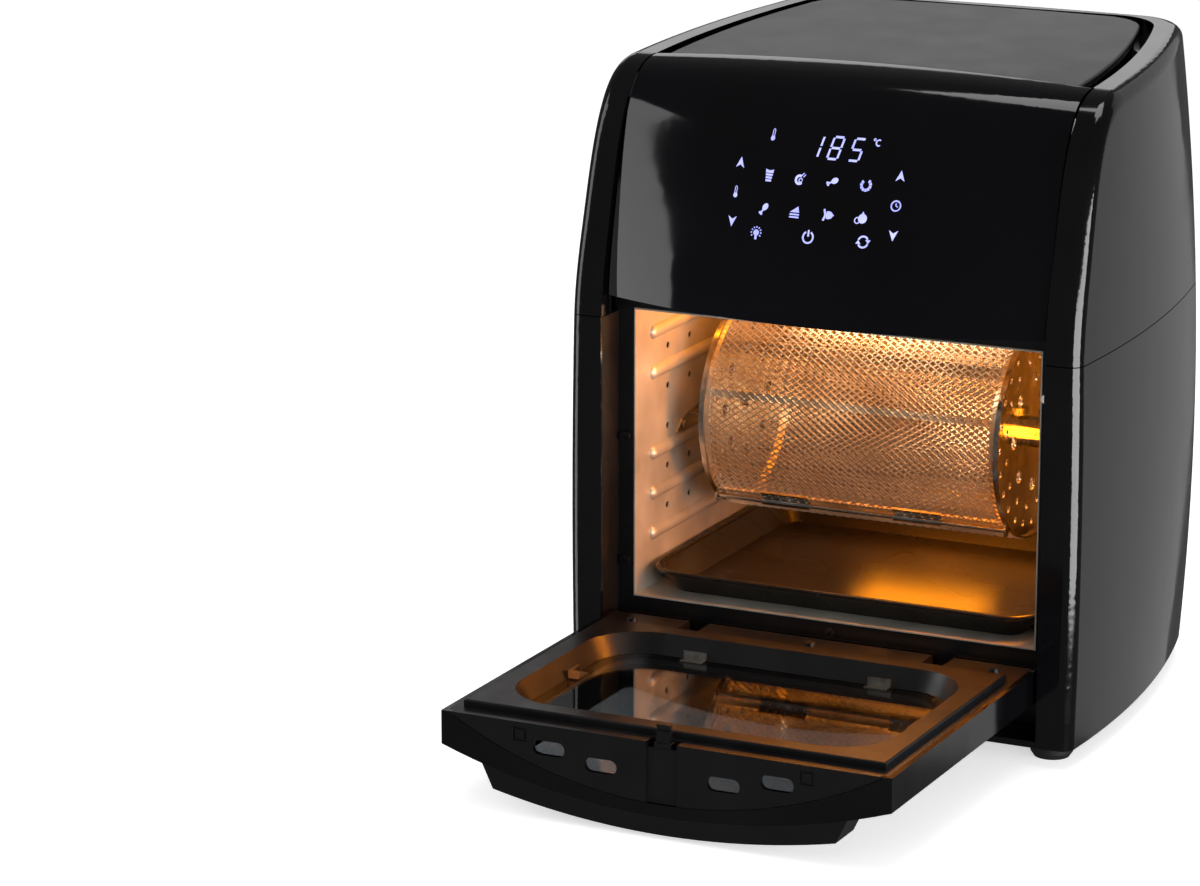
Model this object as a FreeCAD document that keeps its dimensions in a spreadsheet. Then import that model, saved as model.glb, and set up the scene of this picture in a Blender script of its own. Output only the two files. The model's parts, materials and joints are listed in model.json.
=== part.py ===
import FreeCAD, Part
import math
import os
import re
import Sketcher
from FreeCAD import Placement, Rotation
from FreeCAD import Vector as V

# Free-standing rotisserie oven: a barrel-shaped plastic casing round a steel cavity, a bowed touch
# panel above a drop-down glass door, and a mesh basket turned by a gearmotor in the right side wall.
# +X is the oven's right side as the user faces it, +Y points to the back and +Z up. The origin is the
# middle of the casing's plan on the surface that the feet rest on. The door is drawn open.

X, Y, Z = V(1, 0, 0), V(0, 1, 0), V(0, 0, 1)

SIZES = {
    # casing, over all
    "body_w": 312, "body_d": 266, "body_top": 381, "foot_z": 10.5, "seam_gap": 0.6,
    "wall": 2.6, "corner_front": 8, "corner_rear": 34, "widest_y": -72, "rear_bow": 4,
    "base_radius": 775, "seam_radius": 950, "top_radius": 600, "seam_in": 0.6, "top_in": 6.4,
    # brow: the curve from the upright front to the top
    "brow_mid_in": 11, "brow_high_in": 32, "top_front_in": 69, "top_slope": 0.058,
    # front opening and door
    "lip_z": 14.2, "bezel_in": 23.7, "bezel_t": 2.5, "door_len": 182, "door_side": 19,
    "door_bulge": 22, "skin_t": 3, "skin_top": 4, "hinge_in": 1, "hinge_z": 36.5, "hinge_back": 20,
    "hinge_drop": 21, "door_round": 21.5, "lug_w": 10, "lug_gap": 1.5, "ear_w": 9,
    "pin_d": 5, "pin_gap": 0.075, "glass_far": 19,
    "glass_t": 2.4, "glass_drop": 11, "seal_t": 0.6, "window_lead": 6.5,
    "handle_drop": 10, "handle_w": 24, "handle_t": 3,
    # panel and cover
    "panel_bow": 28, "panel_t": 3, "panel_in": 5, "panel_gap": 1.5, "crown": 4.5,
    "lid_radius": 600, "lid_corner": 28, "lid_t": 4,
    "lid_gap": 8, "well_d": 10, "deck_t": 2, "deck_in": 16,
    # cavity
    "cavity_z": 60.2, "steel_t": 0.8, "rail_z": 91.5, "rail_pitch": 24, "rail_r": 4.5, "rail_out": 3,
    "punch_d": 4,
    # spit and basket
    "spit_y": -8.5, "spit_z": 157.5, "basket_r": 61.8, "ear_d": 6.6,
    "mesh_t": 0.8, "disc_t": 1, "hatch_low": -52, "hatch_high": 75, "rod_d": 2.4,
    "rod_out": 1.6, "shaft_d": 8, "square_w": 7, "hub_d": 18, "hub_l": 14, "socket_d": 20,
    "fit_gap": 0.4, "module": 1, "pinion_teeth": 12, "gear_teeth": 48, "gear_w": 5, "backlash": 0.35,
    # tray
    "tray_z": 60.3, "tray_h": 13.5,
    "tray_splay": 14, "tray_corner": 24, "tray_t": 0.9, "tray_bead": 1.6,
    # fan, heater and electrics
    "fan_y": -5, "fan_d": 150, "fan_shaft_d": 6, "heater_r": 72, "heater_tube": 6.5,
    # feet and fasteners
    "foot_d": 24, "base_t": 3, "base_z": 13, "screw_head": 6, "screw_d": 3,
}

# sizes that follow the ones above
FOLLOWERS = {
    "seam_z": "mouth_top - 1", "brow_low_z": "mouth_top - 4.5", "brow_mid_z": "body_top - 93.5",
    "brow_high_z": "body_top - 33.5", "top_front_z": "body_top - 11.2",
    "opening_half": "body_w / 2 - 22", "panel_z": "mouth_top + 11", "door_half": "opening_half - 3",
    "frame_half": "door_half - 8", "frame_len": "door_len - 11", "lug_x": "door_half - 56",
    "glass_half": "frame_half - 18.5", "glass_near": "frame_len - 18",
    "window_half": "glass_half - 6.5", "handle_half": "door_half - 19", "outer_half": "window_half - 2",
    "panel_half": "opening_half - 2", "lid_half": "body_w / 2 - 31.5", "lid_back": "body_d / 2 - 21",
    "cavity_half": "opening_half - 10.7", "cavity_top": "shield_z - 13",
    "cavity_back": "body_d / 2 - 41", "mouth_top": "hinge_z + hinge_back + door_len - 9",
    "rail_front": "47 - body_d / 2", "rail_back": "cavity_back - 26",
    "basket_left": "23.8 - cavity_half", "basket_right": "cavity_half - 41.3",
    "tray_half": "cavity_half - 2.3", "tray_front": "27 - body_d / 2", "tray_back": "cavity_back - 4",
    "fan_z": "cavity_top - 12", "heater_z": "cavity_top - 20", "guard_z": "cavity_top - 31",
    "shield_z": "body_top - 90", "motor_z": "shield_z + 9", "foot_x": "body_w / 2 - 21",
    "foot_front": "24 - body_d / 2", "foot_x_back": "body_w / 2 - 48", "foot_back": "body_d / 2 - 29",
}

doc = FreeCAD.newDocument("rotisserie_oven")
sheet = doc.addObject("Spreadsheet::Sheet", "sizes")
cells = {**SIZES, **{alias: "=" + text for alias, text in FOLLOWERS.items()}}
for row, alias in enumerate(cells, start=1):
    sheet.set(f"A{row}", alias)
    sheet.setAlias(f"B{row}", alias)
for row, value in enumerate(cells.values(), start=1):
    sheet.set(f"B{row}", str(value))
doc.recompute()


class Read:
    """A driving size's value, as the sheet holds it."""

    def __getattr__(self, alias):
        return float(sheet.get(alias))


s = Read()
nodes = []


def formula(text):
    """An expression on the sheet's aliases, from plain words such as 'body_w / 2'."""
    return re.sub(r"\b(?!(?:sin|cos|tan|sqrt)\b)([a-z]\w*)", r"sizes.\1", text)


def node(obj, label):
    """Makes an object one of the oven's pieces: its Label names its file."""
    obj.Label = label
    nodes.append(obj)
    return obj


def feature(label, shape, at=None):
    """A piece whose shape neither a sketch nor a primitive suits."""
    obj = doc.addObject("Part::Feature", label)
    obj.Shape = shape
    obj.Placement = at or Placement()
    return node(obj, label)


def place(obj, x, y, z):
    for axis, text in zip("xyz", (x, y, z)):
        obj.setExpression(f".Placement.Base.{axis}", formula(text))
    return obj


def block(name, size, corner):
    """A Part::Box with its three sizes and its low corner bound to the sheet."""
    obj = doc.addObject("Part::Box", name)
    for prop, text in zip(("Length", "Width", "Height"), size):
        obj.setExpression(prop, formula(text))
    return place(obj, *corner)


def rod(name, diameter, length, start, axis="z"):
    """A Part::Cylinder along x, y or z from its start point, bound to the sheet."""
    obj = doc.addObject("Part::Cylinder", name)
    obj.setExpression("Radius", formula(f"({diameter}) / 2"))
    obj.setExpression("Height", formula(length))
    turn = {"z": Rotation(), "x": Rotation(Y, 90), "y": Rotation(X, -90)}[axis]
    obj.Placement = Placement(V(), turn)
    return place(obj, *start)


def ring(name, radius, tube, centre):
    obj = doc.addObject("Part::Torus", name)
    obj.setExpression("Radius1", formula(radius))
    obj.setExpression("Radius2", formula(f"({tube}) / 2"))
    return place(obj, *centre)


def joined(name, *parts):
    obj = doc.addObject("Part::MultiFuse", name)
    obj.Shapes = list(parts)
    return obj


def less(name, base, *tools):
    """The base with the tools cut away."""
    tool = tools[0] if len(tools) == 1 else joined(name + "_tools", *tools)
    obj = doc.addObject("Part::Cut", name)
    obj.Base = base
    obj.Tool = tool
    return obj


def plane_of(body, role):
    return next(f for f in body.Origin.OriginFeatures if f.Role == role)


def new_body(label):
    return node(doc.addObject("PartDesign::Body", label), label)


def new_sketch(body, role, name):
    sketch = body.newObject("Sketcher::SketchObject", name)
    sketch.AttachmentSupport = (plane_of(body, role), [""])
    sketch.MapMode = "FlatFace"
    return sketch


def drive(sketch, kind, *args):
    """Adds a dimension whose last argument is an expression on the sheet."""
    index = sketch.addConstraint(Sketcher.Constraint(kind, *args[:-1], 1.0))
    sketch.setExpression(f"Constraints[{index}]", formula(args[-1]))


def draw_rectangle(sketch, x1, y1, x2, y2):
    corners = [V(0, 0, 0), V(9, 0, 0), V(9, 9, 0), V(0, 9, 0)]
    first = sketch.GeometryCount
    for i in range(4):
        sketch.addGeometry(Part.LineSegment(corners[i], corners[(i + 1) % 4]), False)
    for i in range(4):
        sketch.addConstraint(Sketcher.Constraint("Coincident", first + i, 2, first + (i + 1) % 4, 1))
    for i, kind in enumerate(("Horizontal", "Vertical", "Horizontal", "Vertical")):
        sketch.addConstraint(Sketcher.Constraint(kind, first + i))
    drive(sketch, "DistanceX", -1, 1, first, 1, x1)
    drive(sketch, "DistanceY", -1, 1, first, 1, y1)
    drive(sketch, "DistanceX", -1, 1, first + 2, 1, x2)
    drive(sketch, "DistanceY", -1, 1, first + 2, 1, y2)


def draw_circle(sketch, diameter, x="0", y="0"):
    first = sketch.GeometryCount
    sketch.addGeometry(Part.Circle(V(1, 1, 0), Z, 2), False)
    drive(sketch, "Diameter", first, diameter)
    drive(sketch, "DistanceX", -1, 1, first, 3, x)
    drive(sketch, "DistanceY", -1, 1, first, 3, y)


def padded(body, sketch, length, offset="0"):
    """A Pad of the sketch, which lies offset along its plane's normal."""
    sketch.setExpression(".AttachmentOffset.Base.z", formula(offset))
    pad = body.newObject("PartDesign::Pad", sketch.Name + "_pad")
    pad.Profile = sketch
    pad.setExpression("Length", formula(length))
    return pad


def pocketed(body, sketch, offset="0"):
    """A hole through the whole body, cut both ways from the sketch."""
    sketch.setExpression(".AttachmentOffset.Base.z", formula(offset))
    pocket = body.newObject("PartDesign::Pocket", sketch.Name + "_pocket")
    pocket.Profile = sketch
    pocket.Type = "ThroughAll"
    pocket.Midplane = True
    return pocket


# ---------------------------------------------------------------- plain shapes from the sheet's values

def wire_of(*edges):
    return Part.Wire(Part.__sortEdges__([e.toShape() if hasattr(e, "toShape") else e for e in edges]))


def polygon(points):
    return Part.makePolygon(list(points) + [points[0]])


def prism(wire, direction):
    return Part.Face(wire).extrude(direction)


def cuboid(x1, x2, y1, y2, z1, z2):
    return Part.makeBox(x2 - x1, y2 - y1, z2 - z1, V(x1, y1, z1))


def bar(diameter, start, end):
    """A round bar from one point to the other."""
    return Part.makeCylinder(diameter / 2, (end - start).Length, start, end - start)


def both_sides(shape):
    """The shape and its mirror image across the oven's middle plane."""
    return [shape, shape.mirror(V(), X)]


def rounded_rectangle(x1, x2, y1, y2, radius, z):
    """A flat wire with round corners."""
    edges = []
    centres = [(x2 - radius, y2 - radius, 0), (x1 + radius, y2 - radius, 90),
               (x1 + radius, y1 + radius, 180), (x2 - radius, y1 + radius, 270)]
    for i, (cx, cy, start) in enumerate(centres):
        circle = Part.Circle(V(cx, cy, z), Z, radius)
        arc = circle.trim(math.radians(start), math.radians(start + 90)).toShape()
        edges.append(arc)
        nx, ny, turn = centres[(i + 1) % 4]
        a = math.radians(start + 90)
        p = V(cx + radius * math.cos(a), cy + radius * math.sin(a), z)
        q = V(nx + radius * math.cos(a), ny + radius * math.sin(a), z)
        edges.append(Part.makeLine(p, q))
    return Part.Wire(Part.__sortEdges__(edges))


def y_front():
    return -s.body_d / 2


def y_rear():
    return s.body_d / 2


# ---------------------------------------------------------------- casing

def outline(z, half, radius, inset):
    """The casing's plan at one height: straight front, arced sides and a bowed back."""
    cx = half - radius
    r = radius - inset
    front = y_front() + inset
    back = y_rear() - s.rear_bow - inset
    xf = cx + math.sqrt(r ** 2 - (front - s.widest_y) ** 2)
    xb = cx + math.sqrt(r ** 2 - (back - s.widest_y) ** 2)
    side = Part.Arc(V(xf, front, z), V(half - inset, s.widest_y, z), V(xb, back, z))
    rear = Part.Arc(V(xb, back, z), V(0, y_rear() - inset, z), V(-xb, back, z))
    other = Part.Arc(V(-xb, back, z), V(inset - half, s.widest_y, z), V(-xf, front, z))
    face = Part.LineSegment(V(-xf, front, z), V(xf, front, z))
    return Part.Wire([face.toShape(), side.toShape(), rear.toShape(), other.toShape()])


def profile(inset, drop):
    """The casing's side view as a closed wire: upright front, brow and slightly rising top."""
    front = y_front() + inset
    low = V(0, front, s.foot_z - 40)
    foot = V(0, front, s.brow_low_z)
    brow = [foot,
            V(0, front + s.brow_mid_in, s.brow_mid_z - drop * 0.1),
            V(0, front + s.brow_high_in, s.brow_high_z - drop * 0.6),
            V(0, y_front() + s.top_front_in, s.top_front_z - drop)]
    spline = Part.BSplineCurve()
    spline.interpolate(Points=brow, InitialTangent=Z, FinalTangent=V(0, 1, s.top_slope))
    end_y = y_rear() + 20
    end = V(0, end_y, brow[-1].z + (end_y - brow[-1].y) * s.top_slope)
    base = V(0, end_y, low.z)
    return Part.Wire([Part.makeLine(low, foot), spline.toShape(), Part.makeLine(brow[-1], end),
                      Part.makeLine(end, base), Part.makeLine(base, low)])


def envelope(inset, drop, base):
    """The casing's form above base, drawn in by inset at the sides and by drop at the top."""
    half = s.body_w / 2
    levels = [outline(base, half, s.base_radius, inset),
              outline(s.seam_z, half - s.seam_in, s.seam_radius, inset),
              outline(s.body_top + 12, half - s.top_in, s.top_radius, inset)]
    form = Part.makeLoft(levels, True, False)
    tall = [e for e in form.Edges if e.BoundBox.ZLength > 50 and e.BoundBox.YMin > 0]
    form = form.makeFillet(s.corner_rear - inset, tall)
    side_view = profile(inset, drop)
    form = form.common(prism(side_view, V(800, 0, 0)).translated(V(-400, 0, 0))).Solids[0]
    rim = [e for e in form.Edges if on_profile(e, side_view)]
    return form.makeFillet(s.corner_front - inset, rim).Solids[0]


def on_profile(edge, side_view):
    """Whether an edge is one where the front, brow or top meets a side or the back."""
    mid = edge.valueAt((edge.FirstParameter + edge.LastParameter) / 2)
    gap = Part.Vertex(V(0, mid.y, mid.z)).distToShape(side_view)[0]
    across = edge.BoundBox.XLength > 100 and mid.y < 0
    return gap < 0.02 and not across and mid.z > s.foot_z + 1


def lid_outline(grow, z):
    """The top cover's plan: straight front, arced sides, round rear corners."""
    front = y_front() + s.top_front_in
    back = s.lid_back + grow
    radius = s.lid_radius + grow
    cx = s.lid_half - s.lid_radius
    xb = cx + math.sqrt(radius ** 2 - (back - front) ** 2)
    half = s.lid_half + grow
    mid_y = (front + back) / 2
    xm = cx + math.sqrt(radius ** 2 - (mid_y - front) ** 2)
    right = Part.Arc(V(half, front, z), V(xm, mid_y, z), V(xb, back, z))
    left = Part.Arc(V(-xb, back, z), V(-xm, mid_y, z), V(-half, front, z))
    return Part.Wire([Part.makeLine(V(-half, front, z), V(half, front, z)), right.toShape(),
                      Part.makeLine(V(xb, back, z), V(-xb, back, z)), left.toShape()])


def lid_column(grow, z1, z2):
    """An upright column on the cover's plan, with its rear corners rounded."""
    column = prism(lid_outline(grow, z1), V(0, 0, z2 - z1))
    corners = [e for e in column.Edges
               if e.BoundBox.ZLength > (z2 - z1) * 0.9 and e.BoundBox.YMin > 0]
    return column.makeFillet(s.lid_corner + grow * 0.5, corners)


def top_at(y):
    """The height of the casing's top at its sides."""
    return s.top_front_z + (y - y_front() - s.top_front_in) * s.top_slope


def brow_band(near, far, x1, x2):
    """An upright wall that follows the brow: from near to far behind the casing's front."""
    column = prism(profile(near, near), V(x2 - x1, 0, 0)).cut(prism(profile(far, far), V(x2 - x1, 0, 0)))
    return column.translated(V(x1, 0, 0)).common(
        cuboid(x1 - 1, x2 + 1, -400, y_front() + s.top_front_in, s.seam_z + s.seam_gap / 2, s.brow_high_z))


def make_housings():
    """The upper casing, a rim shell open at the front and top, and the lower casing below the seam."""
    outer = envelope(0, 0, s.foot_z)
    inner = envelope(s.wall, s.well_d + s.deck_t, s.foot_z - 4)
    shell = outer.cut(inner)
    half_gap = s.seam_gap / 2
    upper = shell.common(cuboid(-400, 400, -400, 400, s.seam_z + half_gap, 600))
    lid_front = y_front() + s.top_front_in
    window = cuboid(-s.panel_half - s.panel_gap, s.panel_half + s.panel_gap, -400, lid_front, 0, 600)
    upper = upper.cut(window)
    well = lid_column(s.lid_gap, s.top_front_z - s.well_d - 60, s.body_top + 40)
    upper = upper.cut(well.common(above_deck()))
    deck_hole = lid_column(-s.deck_in, s.seam_z, s.body_top + 40)
    upper = upper.cut(deck_hole)
    near, far = s.panel_in + s.panel_t - 0.6, s.panel_in + s.panel_t + s.wall
    behind_panel = panel_slab(-8, s.panel_t, s.panel_half + s.panel_gap - 0.1)
    x1 = s.panel_half + s.panel_gap
    for side in both_sides(brow_band(near, far, s.panel_half - 6, x1 + 1).cut(behind_panel)):
        upper = upper.fuse(side)
    for side in both_sides(brow_band(0.6, far, x1, x1 + s.wall)):
        upper = upper.fuse(side)
    shut_door = cuboid(-s.door_half - 1.5, s.door_half + 1.5, -400, y_front() + s.bezel_in - 1, 0,
                       s.panel_z - 1)
    upper = upper.common(outer).cut(shut_door).cut(panel_slab(0, s.panel_t, s.panel_half))
    exhaust = cuboid(-57, 57, y_rear() - 12, y_rear() + 12, grille_z() - 20, grille_z() + 20)
    upper = upper.cut(exhaust)
    feature("housing_upper", upper.removeSplitter())

    lower = shell.common(cuboid(-400, 400, -400, 400, 0, s.seam_z - half_gap))
    doorway = cuboid(-s.opening_half, s.opening_half, -400, y_front() + 40, s.lip_z, 600)
    lower = lower.cut(doorway).cut(bar(13.4, gland_at() - Y * 12, gland_at() + Y * 12))
    feature("housing_lower", lower.removeSplitter())
    return inner, lower


def above_deck():
    """The space above the sloping floor of the top's well."""
    space = cuboid(-400, 400, 0, 500, 0, 100)
    tilt = Rotation(X, math.degrees(math.atan(s.top_slope)))
    space.Placement = Placement(V(0, y_front() + s.top_front_in, s.top_front_z - s.well_d), tilt)
    return space


def make_top_cover():
    """The inset cover: crowned across its width, and lying a little above the well's floor."""
    front = y_front() + s.top_front_in + 0.4
    back = s.lid_back + 2
    sections = []
    half = s.lid_half + 5.5
    for x in (-half, -half / 2, 0, half / 2, half):
        rise = s.crown * (1 - (x / half) ** 2)
        z1, z2 = top_at(front) + rise, top_at(back) + rise * 0.3
        sections.append(polygon([V(x, front, z1), V(x, back, z2), V(x, back, z2 - s.lid_t),
                                 V(x, front, z1 - s.lid_t)]))
    slab = Part.makeLoft(sections, True, False)
    cover = slab.common(lid_column(0, s.seam_z, s.body_top + 40)).Solids[0]
    brim = [e for e in cover.Edges if e.CenterOfMass.z > top_at(e.CenterOfMass.y) - 1
            and e.BoundBox.YMin > front - 0.5 and e.BoundBox.YLength > 3]
    cover = cover.makeFillet(1.2, brim)
    ribs = []
    for y in (-30, 20, 70):
        z = top_at(y)
        cx = s.lid_half - s.lid_radius
        edge = cx + math.sqrt(s.lid_radius ** 2 - (y - y_front() - s.top_front_in) ** 2)
        rib = cuboid(edge - 14, edge - 2, y, y + 3, z - s.well_d - 5, z - s.lid_t + 1)
        ribs.append(rib.common(above_deck()))
    for rib in ribs:
        for side in both_sides(rib):
            cover = cover.fuse(side)
    feature("top_cover", cover)


def panel_section(x, depth):
    """One upright slice of the bowed panel: its outer curve, and its inner one depth behind."""
    bow = 1 - (x / s.panel_half) ** 2
    f = y_front() + s.panel_in
    pts = [(f + 1.5 - s.panel_bow * bow, s.panel_z),
           (f + s.brow_mid_in - 1.5 - 0.86 * s.panel_bow * bow, s.brow_mid_z),
           (f + 0.66 * s.brow_high_in - 0.55 * s.panel_bow * bow, s.brow_mid_z + 44 + 2 * bow),
           (f + 1.22 * s.brow_high_in - 0.28 * s.panel_bow * bow, s.top_front_z - 8.5 + 4 * bow),
           (y_front() + s.top_front_in - 0.4, top_at(y_front() + s.top_front_in) + s.crown * bow)]
    ways = [(1, 0), (1, -0.2), (0.92, -0.5), (0.55, -0.85), (0, -1)]
    pts = [V(x, y + depth * a, z + depth * b) for (y, z), (a, b) in zip(pts, ways)]
    curve = Part.BSplineCurve()
    curve.interpolate(Points=pts, InitialTangent=V(0, 0.06, 1), FinalTangent=V(0, 1, s.top_slope))
    return curve, pts


def panel_slab(near, far, half):
    """The layer of the panel between two depths, out to a half width."""
    sections = []
    for share in (-1, -0.5, 0, 0.5, 1):
        outer, a = panel_section(share * half, near)
        inner, b = panel_section(share * half, far)
        sections.append(wire_of(outer, Part.makeLine(a[-1], b[-1]), inner, Part.makeLine(b[0], a[0])))
    return Part.makeLoft(sections, True, False)


def make_panel():
    panel = panel_slab(0, s.panel_t, s.panel_half)
    feature("control_panel", panel)
    lean = math.degrees(math.atan2(s.brow_high_in - s.brow_mid_in, s.brow_high_z - s.brow_mid_z))
    at = Placement(V(0, y_front() + 11, s.brow_mid_z + 10.5), Rotation(X, -0.9 * lean))
    feature("digit_display", cuboid(-26, 30, -6, 0, 8, 28), at)
    keys = [bar(8, V(x, -4, z), V(x, 0, z)) for x in (-62, -44, -14, 16, 46, 62) for z in (-28, -8)]
    feature("touch_board", cuboid(-74, 74, 0, 1.6, -38, 38).multiFuse(keys), at)
    far = s.panel_in + s.panel_t + s.wall
    posts = [bar(5, V(x, 1.6, 0), V(x, 30, 0)) for x in (-60, -20, 20, 60)]
    beam = cuboid(-s.panel_half + 0.5, s.panel_half - 0.5, y_front(), y_front() + 32, at.Base.z - 8,
                  at.Base.z + 8)
    beam = beam.common(prism(profile(far, far), V(400, 0, 0)).translated(V(-200, 0, 0)))
    beam = beam.cut(cuboid(-400, 400, y_front() + 29, 400, 0, 600))
    for post in posts:
        post.Placement = at
        beam = beam.fuse(post.cut(cuboid(-400, 400, y_front() + 29, 400, 0, 600)))
    feature("board_carrier", beam)


def make_bezel():
    """The dark frame round the doorway: a plate with the mouth in it, and returns to the pillars."""
    y1 = y_front() + s.bezel_in
    y2 = y1 + s.bezel_t
    t = s.wall - 0.3
    out = s.opening_half
    top = s.panel_z + 3
    foot = s.base_z + s.base_t
    plate = cuboid(-out - t, out + t, y1, y2, foot, top)
    mouth_half = s.cavity_half + s.steel_t + 0.2
    mouth = cuboid(-mouth_half, mouth_half, y1 - 9, y2 + 9, s.cavity_z - s.steel_t - 0.2,
                   s.mouth_top + s.steel_t + 0.2)
    returns = both_sides(cuboid(out, out + t, y_front() + s.wall, y1, foot, s.seam_z - s.seam_gap))
    slot = cuboid(-9, 9, y1 - 1, y2 + 1, s.mouth_top + 2.4, s.mouth_top + 8.5)
    plunger_hole = bar(5.6, V(out - 5, y1 - 1, s.mouth_top - 24), V(out - 5, y2 + 1, s.mouth_top - 24))
    bezel = plate.fuse(returns[0]).fuse(returns[1]).cut(mouth).cut(slot).cut(plunger_hole)
    bezel = bezel.cut(Part.makeCompound([bar(s.screw_d, p, p + Y * 9) for p in bezel_seats()]))
    feature("front_bezel", bezel.removeSplitter())
    catch_z = s.hinge_z + s.hinge_back + s.door_len - 2.2
    spring = cuboid(-8, 8, y1 + 0.3, y2 - 0.2, catch_z + 0.7, s.mouth_top + 8.5)
    nose = bar(1.6, V(-6, y1 + 1.2, catch_z + 0.3), V(6, y1 + 1.2, catch_z + 0.3))
    feature("latch_spring", spring.fuse(nose))
    x, z = out - 5, s.mouth_top - 24
    tip = y_front() + s.bezel_in - 8.2
    feature("switch_plunger", bar(5, V(x, tip, z), V(x, y2 + 5, z)))
    switch = cuboid(x - 3.5, x + 3.5, y2 + 8.4, y2 + 24, z - 8, z + 8)
    feature("door_switch", switch.fuse(cuboid(x - 3.5, x + 3.5, y2 + 1, y2 + 9, z + 4, z + 8)))
    lugs = []
    axis_y, axis_z = y_front() + s.hinge_in, s.hinge_z
    for side in (-1, 1):
        x1 = side * s.lug_x - s.lug_w / 2
        lug = cuboid(x1, x1 + s.lug_w, axis_y, y1, axis_z - 8, axis_z + 8)
        lug = lug.fuse(bar(16, V(x1, axis_y, axis_z), V(x1 + s.lug_w, axis_y, axis_z)))
        lug = lug.cut(bar(s.pin_d, V(x1 - 1, axis_y, axis_z), V(x1 + s.lug_w + 1, axis_y, axis_z)))
        lugs.append(lug)
    feature("hinge_lugs", Part.makeCompound(lugs))
    reach = s.lug_w / 2 + s.lug_gap + s.ear_w
    pins = [bar(s.pin_d, V(side * s.lug_x - reach, axis_y, axis_z), V(side * s.lug_x + reach, axis_y,
                                                                      axis_z))
            for side in (-1, 1)]
    feature("hinge_pins", Part.makeCompound(pins))


# ---------------------------------------------------------------- base

def make_base(inner):
    """The base plate fills the lower casing's foot, with air slots and a hole over each foot."""
    slab = inner.common(cuboid(-400, 400, -400, 400, s.base_z, s.base_z + s.base_t))
    slab = slab.cut(cuboid(-s.opening_half, s.opening_half, -400, y_front() + s.bezel_in - 4, s.lip_z, 400))
    slots = [cuboid(x, x + 5, -30, 60, 0, 60) for x in range(-82, 83, 18)]
    slab = slab.cut(Part.makeCompound(slots))
    holes = [bar(s.screw_d + 0.6, V(x, y, 0), V(x, y, 60)) for x, y in foot_places()]
    slab = slab.cut(Part.makeCompound(holes))
    feature("base_plate", slab)
    feet = []
    for x, y in foot_places():
        foot = Part.makeCone(s.foot_d / 2 - 2, s.foot_d / 2, 3, V(x, y, 0), Z)
        foot = foot.fuse(bar(s.foot_d, V(x, y, 3), V(x, y, s.base_z)))
        feet.append(foot.cut(bar(s.screw_head + 1.5, V(x, y, -1), V(x, y, 4)))
                    .cut(bar(s.screw_d, V(x, y, -1), V(x, y, 40))))
    feature("feet", Part.makeCompound(feet))


def foot_places():
    return [(sx * x, y) for sx in (-1, 1)
            for x, y in ((s.foot_x, s.foot_front), (s.foot_x_back, s.foot_back))]


def screw(seat, way, length):
    """A pan-head screw: its head stands on the seat, and its shank points along way."""
    head = bar(s.screw_head, seat - way * 2.2, seat)
    shank = bar(s.screw_d, seat, seat + way * length)
    recess = bar(2.2, seat - way * 2.2, seat - way * 1.2)
    return head.fuse(shank).cut(recess)


# ---------------------------------------------------------------- cavity

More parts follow.
